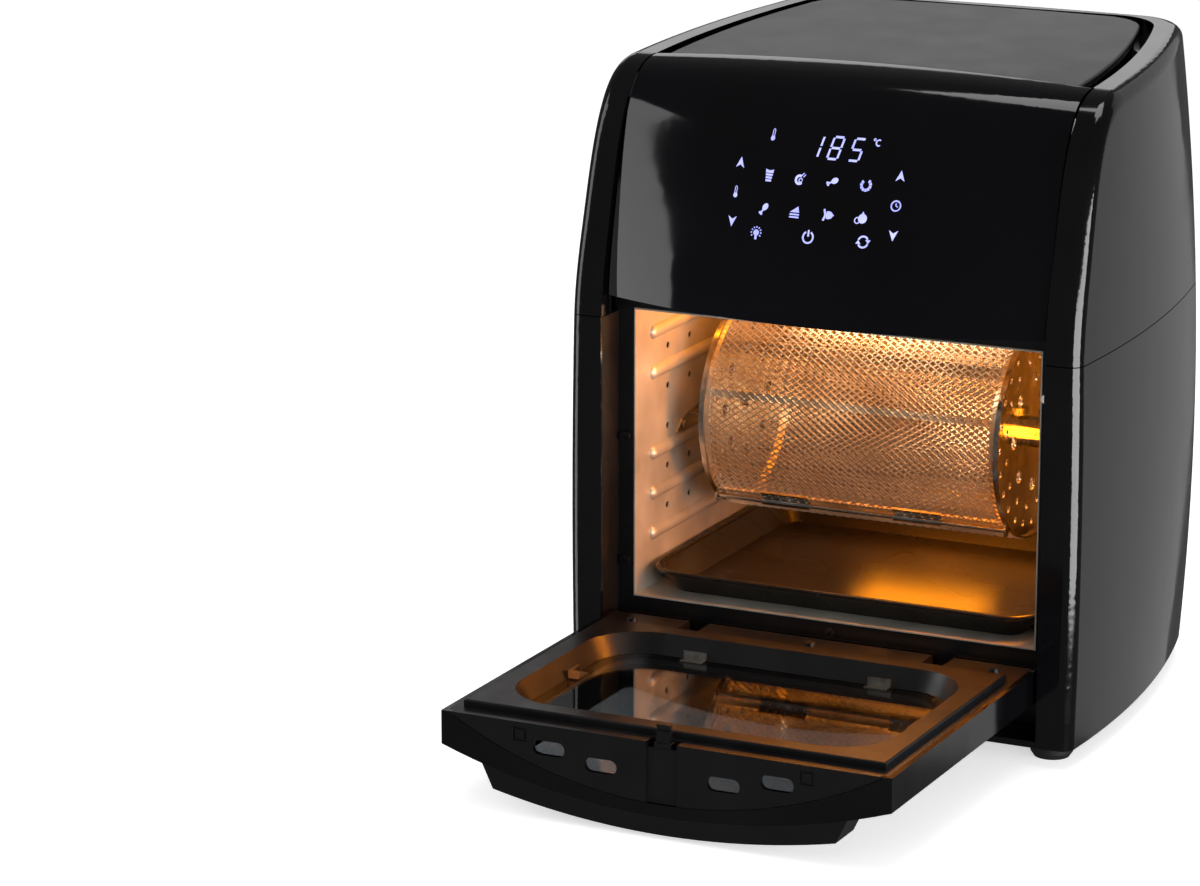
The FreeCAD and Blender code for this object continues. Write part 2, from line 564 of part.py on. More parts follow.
def make_liner():
    """The pressed steel cavity: open front, rack runners and punched holes in its side walls."""
    half, t = s.cavity_half, s.steel_t
    y1 = y_front() + s.bezel_in - 0.5
    back = s.cavity_back
    box_out = cuboid(-half - t, half + t, y1, back + t, s.cavity_z - t, s.cavity_top + t)
    box_in = cuboid(-half, half, y1 + t, back, s.cavity_z, s.cavity_top)
    mouth = cuboid(-half, half, y1 - 5, y1 + 5, s.cavity_z, s.mouth_top)
    liner = box_out.cut(box_in).cut(mouth)
    bezel_back = y_front() + s.bezel_in + s.bezel_t
    above = cuboid(-half - 9, half + 9, y1 - 5, bezel_back, s.mouth_top + t, s.cavity_top + 40)
    liner = liner.cut(above)
    flange = cuboid(-half - 9, half + 9, bezel_back, bezel_back + 1, s.cavity_z - 12, s.cavity_top + t)
    flange = flange.cut(cuboid(-half, half, y1, bezel_back + 5, s.cavity_z, s.mouth_top))
    slot = cuboid(-9, 9, y1, bezel_back + 5, s.mouth_top + 2.4, s.mouth_top + 8.5)
    plunger = bar(6.5, V(s.opening_half - 5, y1, s.mouth_top - 24),
                  V(s.opening_half - 5, bezel_back + 5, s.mouth_top - 24))
    flange = flange.cut(Part.makeCompound([bar(s.screw_d, p, p + Y * 9) for p in bezel_seats()]))
    liner = liner.fuse(flange.cut(slot).cut(plunger))
    runners = []
    for k in (0, 1, 2, 4, 5):
        z = s.rail_z + k * s.rail_pitch
        wall_x = -half + s.rail_out - s.rail_r
        runner = bar(2 * s.rail_r, V(wall_x, s.rail_front, z), V(wall_x, s.rail_back, z))
        for y in (s.rail_front, s.rail_back):
            runner = runner.fuse(Part.makeSphere(s.rail_r, V(wall_x, y, z)))
        runner = runner.common(cuboid(-half - t / 2, 0, -400, 400, 0, 400))
        runners += both_sides(runner)
    liner = liner.multiFuse(runners)
    holes = []
    for k in range(5):
        z = s.rail_z + (k + 0.5) * s.rail_pitch
        for y in (-66, -36, 20, 50):
            holes.append(bar(s.punch_d, V(-half - 5, y, z), V(-half + 5, y, z)))
            holes.append(bar(s.punch_d, V(half - 5, y, z), V(half + 5, y, z)))
    shaft_hole = bar(s.socket_d + 2 * s.fit_gap, V(half - 5, s.spit_y, s.spit_z), V(half + 5, s.spit_y,
                                                                                    s.spit_z))
    fan_hole = bar(s.fan_shaft_d + 4, V(0, s.fan_y, s.cavity_top - 5), V(0, s.fan_y, s.cavity_top + 5))
    lamp_hole = bar(30, lamp_at() - Y * 5, lamp_at() + Y * 8)
    legs = [bar(s.heater_tube + 1.5, V(x, heater_leg_y(), s.cavity_top - 5), V(x, heater_leg_y(),
                                                                               s.cavity_top + 5))
            for x in (-14, 14)]
    probe = bar(5, V(-70, back - 5, s.cavity_top - 40), V(-70, back + 5, s.cavity_top - 40))
    liner = liner.cut(Part.makeCompound(holes + [shaft_hole, fan_hole, lamp_hole, probe] + legs))
    feature("cavity_liner", liner)


def lamp_at():
    return V(84, s.cavity_back, s.spit_z + 62)


def heater_leg_y():
    return s.fan_y + math.sqrt((s.heater_r + 14) ** 2 - 14 ** 2)


def make_lamp():
    """Lamp at the back: a glass cap in the cavity's rear wall, the bulb in it and the holder behind."""
    p = lamp_at()
    cap = Part.makeSphere(17, p + Y * 7).common(cuboid(-400, 400, p.y - 30, p.y, 0, 600))
    hollow = Part.makeSphere(15, p + Y * 7)
    cap = cap.cut(hollow).fuse(bar(29, p, p + Y * 2).cut(bar(25, p - Y, p + Y * 3)))
    feature("lamp_glass", cap)
    bulb = Part.makeSphere(5.2, p + Y * 2.5).fuse(bar(7, p + Y * 4, p + Y * 14))
    feature("lamp_bulb", bulb)
    holder = bar(36, p + Y * s.steel_t, p + Y * 20).cut(bar(25, p, p + Y * 14))
    holder = holder.cut(bar(29.6, p - Y, p + Y * 2))
    feature("lamp_holder", holder)


def make_bracket():
    """The spit's left bearing: a pressed trough on the left wall with two rivets."""
    wall_x = -s.cavity_half
    r = s.shaft_d / 2 + s.fit_gap
    y, z = s.spit_y, s.spit_z
    plate = [V(wall_x, y - 46, z - 12.8), V(wall_x, y + 12, z - 12.8), V(wall_x, y + 14, z + 8),
             V(wall_x, y + r + 1.2, z + 9), V(wall_x, y + r + 1.2, z), V(wall_x, y - r - 1.2, z),
             V(wall_x, y - 40, z - 6)]
    web = prism(polygon(plate), V(1.2, 0, 0))
    end = s.basket_left - s.hub_l - 1.2
    trough = cuboid(wall_x, end, y - 30, y + r + 1.2, z - r - 1.2, z - r)
    stop = cuboid(wall_x, end, y + r, y + r + 1.2, z - r - 1.2, z + 9)
    web = web.fuse(trough).fuse(stop)
    groove = bar(2 * r, V(wall_x - 1, y, z), V(wall_x + 20, y, z))
    groove = groove.fuse(cuboid(wall_x - 1, wall_x + 20, y - r, y + r, z, z + 30))
    web = web.cut(groove).removeSplitter()
    rivets = [bar(4.4, V(wall_x + 1.2, y + dy, z - 9.4), V(wall_x + 2.6, y + dy, z - 9.4)) for dy in (-38,
                                                                                                      6)]
    feature("spit_bracket", web.multiFuse(rivets))


def bezel_seats():
    """Where the screws through the bezel and the liner's flange sit."""
    y = y_front() + s.bezel_in
    places = [V(side * (s.opening_half - 4.6), y, z) for side in (-1, 1)
              for z in (s.cavity_z + 20, s.cavity_z + 94)]
    return places + [V(0, y, s.cavity_z - 7)]


def make_stands():
    """Folded stands under the cavity."""
    stands = []
    for x in (-80, 80):
        z1, z2 = s.base_z + s.base_t, s.cavity_z - s.steel_t
        web = cuboid(x, x + 1.2, -20, 70, z1, z2)
        top = cuboid(x, x + 14, -20, 70, z2 - 1.2, z2)
        foot = cuboid(x, x + 14, -20, 70, z1, z1 + 1.2)
        stands.append(web.fuse(top).fuse(foot).cut(cuboid(x - 1, x + 2, 0, 50, z1 + 10, z2 - 10)))
    feature("cavity_stands", Part.makeCompound(stands))


# ---------------------------------------------------------------- spit and basket

def sector(r1, r2, x1, x2, low, high):
    """A slice of a tube along X about the spit: angles from the front, upwards."""
    outer = bar(2 * r2, V(x1, s.spit_y, s.spit_z), V(x2, s.spit_y, s.spit_z))
    tube = outer.cut(bar(2 * r1, V(x1 - 1, s.spit_y, s.spit_z), V(x2 + 1, s.spit_y, s.spit_z)))
    far = 3 * r2
    fan = [V(x1 - 1, s.spit_y, s.spit_z)]
    steps = max(2, int((high - low) / 40) + 1)
    for i in range(steps + 1):
        a = math.radians(low + (high - low) * i / steps)
        fan.append(V(x1 - 1, s.spit_y - far * math.cos(a), s.spit_z + far * math.sin(a)))
    wedge = prism(polygon(fan), V(x2 - x1 + 2, 0, 0))
    return tube.common(wedge)


def around_spit(radius, angle, x):
    a = math.radians(angle)
    return V(x, s.spit_y - radius * math.cos(a), s.spit_z + radius * math.sin(a))


def rod_place(x):
    return around_spit(s.basket_r + s.rod_out, s.hatch_low, x)


def make_basket():
    """The mesh drum, its hatch opening, two punched end discs, hubs and shafts."""
    r = s.basket_r - 1
    x1, x2 = s.basket_left + s.disc_t, s.basket_right - s.disc_t
    low, high = s.hatch_low, s.hatch_high
    drum = sector(r - s.mesh_t, r, x1, x2, high + 0.6, low + 360 - 0.6)
    frame_low = sector(r - s.mesh_t, r + 0.4, x1, x2, low + 360 - 5, low + 360 - 0.6)
    frame_high = sector(r - s.mesh_t, r + 0.4, x1, x2, high + 0.6, high + 5)
    brace = sector(r - s.mesh_t - 1.2, r - s.mesh_t, x1, x2, high + 84, high + 92)
    feature("basket_drum", drum.fuse(frame_low).fuse(frame_high).fuse(brace).removeSplitter())
    rod_bar = bar(s.rod_d, rod_place(s.basket_left), rod_place(s.basket_right))
    feature("hatch_rod", rod_bar)
    hatch = sector(r - s.mesh_t, r, x1 + 0.6, x2 - 0.6, low + 0.6, high - 0.6)
    edges = [sector(r - s.mesh_t, r + 0.5, x1 + 0.6, x2 - 0.6, a, a + 4.4) for a in (low + 0.6, high - 5)]
    strip = sector(r - 2.2, r - s.mesh_t, x1 + 0.6, x2 - 0.6, 14.5, 18.5)
    feature("basket_hatch", hatch.fuse(edges[0]).fuse(edges[1]).fuse(strip).removeSplitter())
    plates = []
    arc_mm = math.degrees(1 / r)
    span = s.basket_right - s.basket_left
    for centre in (s.basket_left + 0.245 * span, s.basket_right - 0.3 * span):
        knuckle = bar(s.rod_d + 1.8, rod_place(centre - 15), rod_place(centre + 15))
        leaf = sector(r, r + 1.2, centre - 15, centre + 15, low + 1.486 * arc_mm, low + 7.43 * arc_mm)
        hinge = knuckle.fuse(leaf)
        gap = bar(s.rod_d + 0.15, rod_place(centre - 20), rod_place(centre + 20))
        plates.append(hinge.cut(gap).cut(sector(r - 5, r + 0.5, centre - 20, centre + 20, low - 30,
                                                low + 5.41 * arc_mm)))
    plates.append(sector(r + 0.5, r + 1.4, -10, 10, high - 5, high + 3.6))
    feature("hatch_fittings", Part.makeCompound(plates))


def make_discs():
    """End discs with a flanged rim and rings of punched holes."""
    discs = {"disc_left": (s.basket_left, 1), "disc_right": (s.basket_right, -1)}
    for name, (x, way) in discs.items():
        centre = V(x, s.spit_y, s.spit_z)
        inward = X * way
        disc = bar(2 * s.basket_r, centre, centre + inward * s.disc_t)
        rim = bar(2 * s.basket_r, centre, centre - inward * 2)
        rim = rim.cut(bar(2 * s.basket_r - 2.4, centre + inward, centre - inward * 3))
        disc = disc.fuse(bar(s.ear_d, rod_place(x), rod_place(x + way * s.disc_t)))
        holes = [bar(s.hub_d / 2, centre - inward * 3, centre + inward * 3)]
        holes.append(bar(s.rod_d, rod_place(x - way * 3), rod_place(x + way * 3)))
        for radius, count, size in ((53, 24, 4.2), (43, 16, 4.2), (31, 8, 8)):
            for i in range(count):
                a = 360 * (i + (radius == 43) / 2) / count
                p = around_spit(radius * s.basket_r / 61.8, a, x)
                holes.append(bar(size, p - inward * 3, p + inward * 3))
        feature(name, disc.fuse(rim).cut(Part.makeCompound(holes)).removeSplitter())


def make_spit():
    """Stub shafts, hub collars, the drive socket and the gearmotor's output gear."""
    c = V(0, s.spit_y, s.spit_z)
    left, right = s.basket_left, s.basket_right
    end = -s.cavity_half + 2.5
    stub = bar(s.shaft_d, c + X * end, c + X * (left + 3.5))
    square = s.square_w
    tip = s.cavity_half - 2
    shaft = bar(s.shaft_d, c + X * (right - 3.5), c + X * (right + s.hub_l + 4))
    key = cuboid(right + s.hub_l + 4, tip, s.spit_y - square / 2, s.spit_y + square / 2,
                 s.spit_z - square / 2, s.spit_z + square / 2)
    feature("spit_shafts", Part.makeCompound([stub, shaft.fuse(key)]))
    hubs, grubs = [], []
    for x, way in ((left, -1), (right, 1)):
        hub = bar(s.hub_d, c + X * x, c + X * (x + way * s.hub_l))
        hub = hub.fuse(bar(s.hub_d / 2, c + X * (x - way * 3), c + X * x))
        hub = hub.cut(bar(s.shaft_d, c + X * (x - way * 9), c + X * (x + way * 30)))
        at = c + X * (x + way * s.hub_l * 0.6)
        hub = hub.cut(bar(4, at, at + Z * 30))
        hubs.append(hub)
        grub = bar(4, at + Z * (s.shaft_d / 2), at + Z * (s.hub_d / 2 + 1))
        grubs.append(grub.fuse(bar(10, at + Z * (s.hub_d / 2 + 1), at + Z * (s.hub_d / 2 + 4.5))))
    feature("hub_collars", Part.makeCompound(hubs))
    feature("hub_thumbscrews", Part.makeCompound(grubs))
    mouth = s.cavity_half - 13
    socket = bar(s.socket_d, c + X * mouth, c + X * (s.cavity_half + 3))
    socket = socket.cut(cuboid(mouth - 1, tip + 1, s.spit_y - square / 2 - 0.25,
                               s.spit_y + square / 2 + 0.25,
                               s.spit_z - square / 2 - 0.25, s.spit_z + square / 2 + 0.25))
    socket = socket.fuse(bar(8, c + X * (s.cavity_half + 3), c + X * gear_x()))
    feature("drive_socket", socket)
    gear = toothed(s.gear_teeth, gear_x(), c, 180 / s.gear_teeth)
    feature("output_gear", gear)


def gear_x():
    return s.cavity_half + 5


def pinion_centre():
    apart = s.module * (s.gear_teeth + s.pinion_teeth) / 2
    return V(0, s.spit_y + apart, s.spit_z)


def toothed(teeth, x, centre, phase):
    """A spur gear along X with involute flanks, its teeth thinned for backlash."""
    m = s.module
    pitch = m * teeth / 2
    base, outer, root = pitch * math.cos(math.radians(20)), pitch + 0.85 * m, pitch - 1.2 * m
    roll = math.tan(math.radians(20)) - math.radians(20)
    flank = [(root, 0)]
    low = max(base, root + 0.05)
    for i in range(5):
        radius = low + (outer - low) * i / 4
        press = math.acos(min(1, base / radius))
        flank.append((radius, math.tan(press) - press))
    half = (math.pi * m / 2 - s.backlash) / 2 / pitch + roll
    points = []
    for i in range(int(teeth)):
        mid = 2 * math.pi * i / teeth + math.radians(phase)
        tooth = [(radius, mid - half + turn) for radius, turn in flank]
        tooth += [(radius, mid + half - turn) for radius, turn in reversed(flank)]
        points += [V(x, centre.y + r * math.cos(a), centre.z + r * math.sin(a)) for r, a in tooth]
    return prism(polygon(points), V(s.gear_w, 0, 0))


def make_gearmotor():
    """Rotor with its pinion, the motor can round it, and the plate that carries both."""
    p = pinion_centre()
    x = gear_x()
    pinion = toothed(s.pinion_teeth, x, p, 0)
    spindle = bar(4, p + X * (x + s.gear_w), p + X * (x + s.gear_w + 3.2))
    rotor = bar(30, p + X * (x + s.gear_w + 3.2), p + X * (x + s.gear_w + 10))
    feature("rotor_pinion", pinion.fuse(spindle).fuse(rotor))
    can = bar(48, p + X * (x + s.gear_w + 1.2), p + X * (x + s.gear_w + 11.5))
    can = can.cut(bar(31, p + X * (x + s.gear_w + 2.2), p + X * (x + s.gear_w + 10.6)))
    can = can.cut(bar(4.6, p + X * x, p + X * (x + s.gear_w + 9)))
    feature("motor_can", can)
    plate_x = s.cavity_half + s.steel_t
    plate = cuboid(plate_x, plate_x + 1.2, s.spit_y - 34, p.y + 26, s.spit_z - 30, s.spit_z + 30)
    hole = s.socket_d + 2 * s.fit_gap
    plate = plate.cut(bar(hole, V(plate_x - 2, s.spit_y, s.spit_z), V(plate_x + 4, s.spit_y, s.spit_z)))
    ears = [cuboid(plate_x + 1.2, x + s.gear_w + 1.2, p.y + 20, p.y + 24, s.spit_z + dz, s.spit_z + dz + 6)
            for dz in (-14, 8)]
    feature("motor_plate", plate.fuse(ears[0]).fuse(ears[1]))


# ---------------------------------------------------------------- tray

def tray_wire(grow, z):
    """The tray's plan at one height, grown outwards from its foot."""
    return rounded_rectangle(-s.tray_half + s.tray_splay - grow, s.tray_half - s.tray_splay + grow,
                             s.tray_front + s.tray_splay - grow, s.tray_back - s.tray_splay + grow,
                             s.tray_corner - s.tray_splay + grow, z)


def make_tray():
    """A pressed tray with splayed sides and a rolled rim."""
    z1, z2 = s.tray_z, s.tray_z + s.tray_h
    reach = s.tray_splay - s.tray_bead
    t = s.tray_t
    outer = Part.makeLoft([tray_wire(0, z1), tray_wire(reach, z2)], True, True)
    inner = Part.makeLoft([tray_wire(-0.2, z1 + t), tray_wire(reach - 1.1 * t, z2 + 0.01)], True, True)
    pan = outer.cut(inner)
    spine = tray_wire(reach, z2)
    start = spine.Edges[0]
    point = start.valueAt(start.FirstParameter)
    tangent = start.tangentAt(start.FirstParameter)
    circle = Part.Wire([Part.Circle(point, tangent, s.tray_bead).toShape()])
    bead = spine.makePipeShell([circle], True, False)
    feature("drip_tray", pan.fuse(bead))


# ---------------------------------------------------------------- door, in its own frame

def door_place():
    """The door's own origin: the middle of the raised frame's hinge-side edge, at the frame's top."""
    return Placement(V(0, y_front() + s.hinge_in - s.hinge_back, s.hinge_z + s.hinge_drop), Rotation())


def slung_arc(half, z_side, z_mid, y):
    return Part.Arc(V(half, y, z_side), V(0, y, z_mid), V(-half, y, z_side)).toShape()


def door_section(half, z_top, z_side, z_mid, y):
    """The door's cross-section: flat top, upright sides and a bellied underside."""
    return Part.Wire([slung_arc(half, z_side, z_mid, y),
                      Part.makeLine(V(-half, y, z_side), V(-half, y, z_top)),
                      Part.makeLine(V(-half, y, z_top), V(half, y, z_top)),
                      Part.makeLine(V(half, y, z_top), V(half, y, z_side))])


def door_side(inset):
    """The door's side view: square at its free end, and rounded about the hinge at the other."""
    c = V(0, s.hinge_back, -s.hinge_drop)
    r = s.door_round - inset
    deep = -s.skin_top - s.door_side - s.door_bulge - 0.5 + inset
    up = 12.0
    tangent = V(0, c.y, c.z - r)
    a = math.radians(58)
    end = V(0, c.y + r * math.cos(a), c.z + r * math.sin(a))
    middle = V(0, c.y + r * math.cos(math.radians(-20)), c.z + r * math.sin(math.radians(-20)))
    near = V(0, c.y - 24, deep)
    curve = Part.BezierCurve()
    curve.setPoles([near, V(0, c.y - 12, deep), V(0, c.y - 7, tangent.z), tangent])
    arc = Part.Arc(tangent, middle, end).toShape()
    tip = -s.door_len + inset
    return Part.Wire(Part.__sortEdges__([
        curve.toShape(), arc, Part.makeLine(end, V(0, end.y, up)), Part.makeLine(V(0, end.y, up), V(0, tip,
                                                                                                    up)),
        Part.makeLine(V(0, tip, up), V(0, tip, deep)), Part.makeLine(V(0, tip, deep), near)]))


def door_form(inset, z_top):
    z_side = -s.skin_top - s.door_side
    section = door_section(s.door_half - inset, z_top, z_side + inset * 0.5, z_side - s.door_bulge + inset,
                           -240)
    form = prism(section, V(0, 320, 0))
    side = prism(door_side(inset), V(400, 0, 0)).translated(V(-200, 0, 0))
    return form.common(side)


def end_plate(grow):
    """The inner frame's end wall: flat on top, bellied below, at the door's free end."""
    section = door_section(s.door_half - 6.5 + grow, -s.skin_top, -s.skin_top - 1.2 - grow,
                           -s.skin_top - s.door_side - s.door_bulge + 7 - grow, -s.door_len)
    return prism(section, V(0, s.skin_t, 0))


def lug_notches():
    """Clear room for the body's hinge lugs through the door's hinge edge."""
    half = s.lug_w / 2 + s.lug_gap
    room = cuboid(s.lug_x - half, s.lug_x + half, s.hinge_back - 14, s.hinge_back + 40,
                  -s.hinge_drop - 10, 20)
    return both_sides(room)


def make_door():
    """Outer skin, inner frame, glasses and handle of the drop-down door."""
    at = door_place()
    outer = door_form(0, -s.skin_top)
    inner = door_form(s.skin_t, 20)
    skin = outer.cut(inner).cut(end_plate(0.3))
    for room in lug_notches():
        skin = skin.cut(room)
    far, near = -s.glass_far - 6, -s.glass_near + 6
    pane_room = cuboid(-s.outer_half, s.outer_half, near, far, -80, -s.skin_top - s.door_side - 2)
    skin = skin.cut(pane_room)
    feature("door_skin", skin, at)
    gap = 0.3
    pane = cuboid(-s.outer_half + gap, s.outer_half - gap, near, far, -80, 20)
    pane = outer.cut(door_form(s.skin_t, 20)).common(pane)
    feature("door_glass_outer", pane, at)

    flange_t = 3
    z_flange = -s.skin_top
    half = s.door_half - s.skin_t
    reach = math.sqrt((s.door_round - s.skin_t) ** 2 - (s.hinge_drop - s.skin_top) ** 2)
    flange = cuboid(-half, half, -s.door_len + s.skin_t, s.hinge_back + reach, z_flange - flange_t,
                    z_flange)
    raised = cuboid(-s.frame_half, s.frame_half, -s.frame_len, 0,
                    -s.glass_drop - s.glass_t - s.seal_t - 2.5, 0)
    upper_edges = [e for e in raised.Edges if e.BoundBox.ZMin > -0.01]
    raised = raised.makeFillet(1.2, upper_edges)
    frame = flange.fuse(raised)
    lead = s.window_lead
    dish = Part.makeLoft([
        rounded_rectangle(-s.glass_half - lead, s.glass_half + lead, -s.glass_near - lead,
                          -s.glass_far + lead,
                          34, 0.05),
        rounded_rectangle(-s.glass_half - 0.4, s.glass_half + 0.4, -s.glass_near - 0.4, -s.glass_far + 0.4,
                          28, -s.glass_drop)], True, True)
    glass_floor = -s.glass_drop - s.glass_t - s.seal_t
    pocket = prism(rounded_rectangle(-s.glass_half - 0.4, s.glass_half + 0.4, -s.glass_near - 0.4,
                                     -s.glass_far + 0.4, 28, glass_floor), V(0, 0,
                                                                             s.seal_t + s.glass_t + 0.01))
    inset = s.glass_half - s.window_half
    sight = prism(rounded_rectangle(-s.window_half, s.window_half, -s.glass_near + inset,
                                    -s.glass_far - inset,
                                    24, -40), V(0, 0, 60))
    frame = frame.cut(dish).cut(pocket).cut(sight)
    plate = end_plate(0)
    for x, z in ((66.5, -16.7), (35.7, -21.9)):
        slot = prism(rounded_rectangle(x - 9.5, x + 9.5, -4, 4, 3.9, 0), V(0, 0, 60))
        slot.Placement = Placement(V(0, -s.door_len - 20, z), Rotation(X, -90))
        for side in both_sides(slot):
            plate = plate.cut(side)
    ring_cut = cuboid(79.5, 87.5, -s.door_len - 1, -s.door_len + 0.8, -14.7, -6.7)
    for side in both_sides(ring_cut.cut(cuboid(81, 86, -200, -150, -13.2, -8.2))):
        plate = plate.cut(side)
    channel = cuboid(-9, 9, -s.door_len - 1, -s.door_len + 1.2, -60, -s.skin_top + 1)
    plate = plate.cut(channel)
    frame = frame.fuse(plate)
    ears = []
    lug_half = s.lug_w / 2 + s.lug_gap
    for x1 in (s.lug_x - lug_half - s.ear_w, s.lug_x + lug_half):
        ears += both_sides(cuboid(x1, x1 + s.ear_w, s.hinge_back - 8, s.hinge_back + 8,
                                  -s.hinge_drop - 7, z_flange - 0.5))
    for ear in ears:
        frame = frame.fuse(ear)
    for room in lug_notches():
        frame = frame.cut(room)
    bore = bar(s.pin_d + 2 * s.pin_gap, V(-s.door_half, s.hinge_back, -s.hinge_drop),
               V(s.door_half, s.hinge_back, -s.hinge_drop))
    frame = frame.cut(bore)
    hook_notch = cuboid(-9, 9, -s.door_len - 1, -s.door_len + 8, -s.skin_top - 3.5, -s.skin_top + 1)
    frame = frame.cut(hook_notch)
    frame = frame.cut(Part.makeCompound([bar(s.screw_d, p, p - Z * 9) for p in ledge_seats()]))
    feature("door_frame", frame.removeSplitter(), at)
    hook = cuboid(-5, 5, -s.door_len + 1.6, -s.door_len + 7.6, -s.skin_top - 3.5, -s.skin_top - 0.6)
    hook = hook.fuse(cuboid(-4, 4, -s.door_len + 2.2, -s.door_len + 5, -s.skin_top - 0.6, 5.5))
    hook = hook.cut(cuboid(-9, 9, -s.door_len + 1, -s.door_len + 3, 2, 3.8))
    feature("latch_hook", hook, at)
    glass = rounded_rectangle(-s.glass_half, s.glass_half, -s.glass_near, -s.glass_far, 27.6,
                              glass_floor + s.seal_t)
    feature("door_glass_inner", prism(glass, V(0, 0, s.glass_t)), at)
    seal_outer = rounded_rectangle(-s.glass_half, s.glass_half, -s.glass_near, -s.glass_far, 27.6,
                                   glass_floor)
    seal = prism(seal_outer, V(0, 0, s.seal_t)).cut(sight)
    feature("glass_seal", seal, at)
    make_clips(at)
    make_handle(at, outer)
    feature("ledge_screws", Part.makeCompound([screw(p, -Z, 6) for p in ledge_seats()]), at)


def ledge_seats():
    return [V(x, 13, -s.skin_top) for x in (-111, 0, 111)]


def make_clips(at):
    """Bent steel clips that hold the inner glass down in its recess."""
    clips = []
    z = -s.glass_drop
    for x, y, turn in ((-56, -s.glass_far, 0), (56, -s.glass_far, 0), (-s.glass_half, -76, 90),
                       (s.glass_half, -76, -90), (-56, -s.glass_near, 180), (56, -s.glass_near, 180)):
        foot = cuboid(-7, 7, -6, 0.2, 0, 0.8)
        tab = cuboid(-7, 7, -0.6, 0.2, 0, 5)
        clip = foot.fuse(tab)
        clip.Placement = Placement(V(x, y, z), Rotation(Z, turn))
        clips.append(clip)
    feature("glass_clips", Part.makeCompound(clips), at)


def make_handle(at, outer):
    """A bowed grip bar under the free end: a front wall and a lip with a finger gap behind it."""
    z_side = -s.skin_top - s.door_side
    z_mid = z_side - s.door_bulge
    y1 = -s.door_len
    low = z_mid - s.handle_drop
    arc = Part.Arc(V(s.handle_half - 12, y1, z_side - 21), V(0, y1, low), V(12 - s.handle_half, y1,
                                                                            z_side - 21))
    wire = Part.Wire([arc.toShape(),
                      Part.makeLine(V(12 - s.handle_half, y1, z_side - 21), V(-s.handle_half, y1,
                                                                              z_side + 4)),
                      Part.makeLine(V(-s.handle_half, y1, z_side + 4), V(s.handle_half, y1, z_side + 4)),
                      Part.makeLine(V(s.handle_half, y1, z_side + 4), V(s.handle_half - 12, y1,
                                                                        z_side - 21))])
    block_shape = prism(wire, V(0, s.handle_w, 0))
    arc_in = Part.Arc(V(s.handle_half - 16, y1, z_side - 19), V(0, y1, low + s.handle_t),
                      V(16 - s.handle_half, y1, z_side - 19))
    room = Part.Wire([arc_in.toShape(),
                      Part.makeLine(V(16 - s.handle_half, y1, z_side - 19), V(8 - s.handle_half, y1,
                                                                              z_side + 9)),
                      Part.makeLine(V(8 - s.handle_half, y1, z_side + 9), V(s.handle_half - 8, y1,
                                                                            z_side + 9)),
                      Part.makeLine(V(s.handle_half - 8, y1, z_side + 9), V(s.handle_half - 16, y1,
                                                                            z_side - 19))])
    room = prism(room, V(0, 60, 0)).translated(V(0, 4.5, 0))
    handle = block_shape.cut(room).cut(outer)
    keep = max(handle.Solids, key=lambda solid: solid.Volume)
    feature("door_handle", keep, at)


# ---------------------------------------------------------------- fan, heater and electrics

def make_fan():
    """Shaft, hot-air impeller below the cavity's roof and a cooling impeller above the motor."""
    c = V(0, s.fan_y, 0)
    z1, z2 = s.fan_z, s.motor_z + 46
    feature("fan_shaft", bar(s.fan_shaft_d, c + Z * (z1 - 4), c + Z * z2))
    for name, z, diameter, height, count in (("convection_fan", z1, s.fan_d, 9, 8),
                                             ("cooling_fan", s.motor_z + 36, 74, 8, 6)):
        disc = bar(diameter * 0.42, c + Z * z, c + Z * (z + 1))
        hub = bar(s.fan_shaft_d + 8, c + Z * z, c + Z * (z + height))
        wheel = disc.fuse(hub)
        for i in range(count):
            blade = cuboid(2, diameter / 2, -0.5, 0.5, 0, height)
            blade.Placement = Placement(c + Z * z, Rotation(Z, 360 * i / count))
            wheel = wheel.fuse(blade)
        wheel = wheel.cut(bar(s.fan_shaft_d, c + Z * (z - 1), c + Z * (z + height + 1)))
        feature(name, wheel)


def make_heater():
    """Two rings of sheathed element, joined, with legs up through the roof."""
    y = heater_leg_y()
    outer = ring("heater_outer", "heater_r + 14", "heater_tube", ("0", "fan_y", "heater_z"))
    legs = [rod(f"heater_leg_{i}", "heater_tube - 1", "cavity_top + 14 - heater_z",
                (f"{x}", "fan_y + sqrt((heater_r + 14) ^ 2 - 14 ^ 2)", "heater_z")) for i, x in ((1, -14),
                                                                                                 (2, 14))]
    node(joined("heating_element_form", outer, *legs), "heating_element")
    rings = [ring(f"guard_ring_{i}", radius, "2.4", ("0", "fan_y", "guard_z"))
             for i, radius in enumerate(("heater_r + 22", "heater_r", "heater_r - 24", "heater_r - 48"))]
    bars = [block("guard_bar_x", ("2 * heater_r + 44", "2.4", "2"), ("-heater_r - 22", "fan_y - 1.2",
                                                                     "guard_z - 1")),
            block("guard_bar_y", ("2.4", "2 * heater_r + 44", "2"), ("-1.2", "fan_y - heater_r - 22",
                                                                     "guard_z - 1"))]
    posts = [rod(f"guard_post_{i}", "3", "cavity_top - guard_z", (x, "fan_y", "guard_z"))
             for i, x in enumerate(("heater_r + 22", "-heater_r - 22"))]
    node(joined("heater_guard_form", *rings, *bars, *posts), "heater_guard")


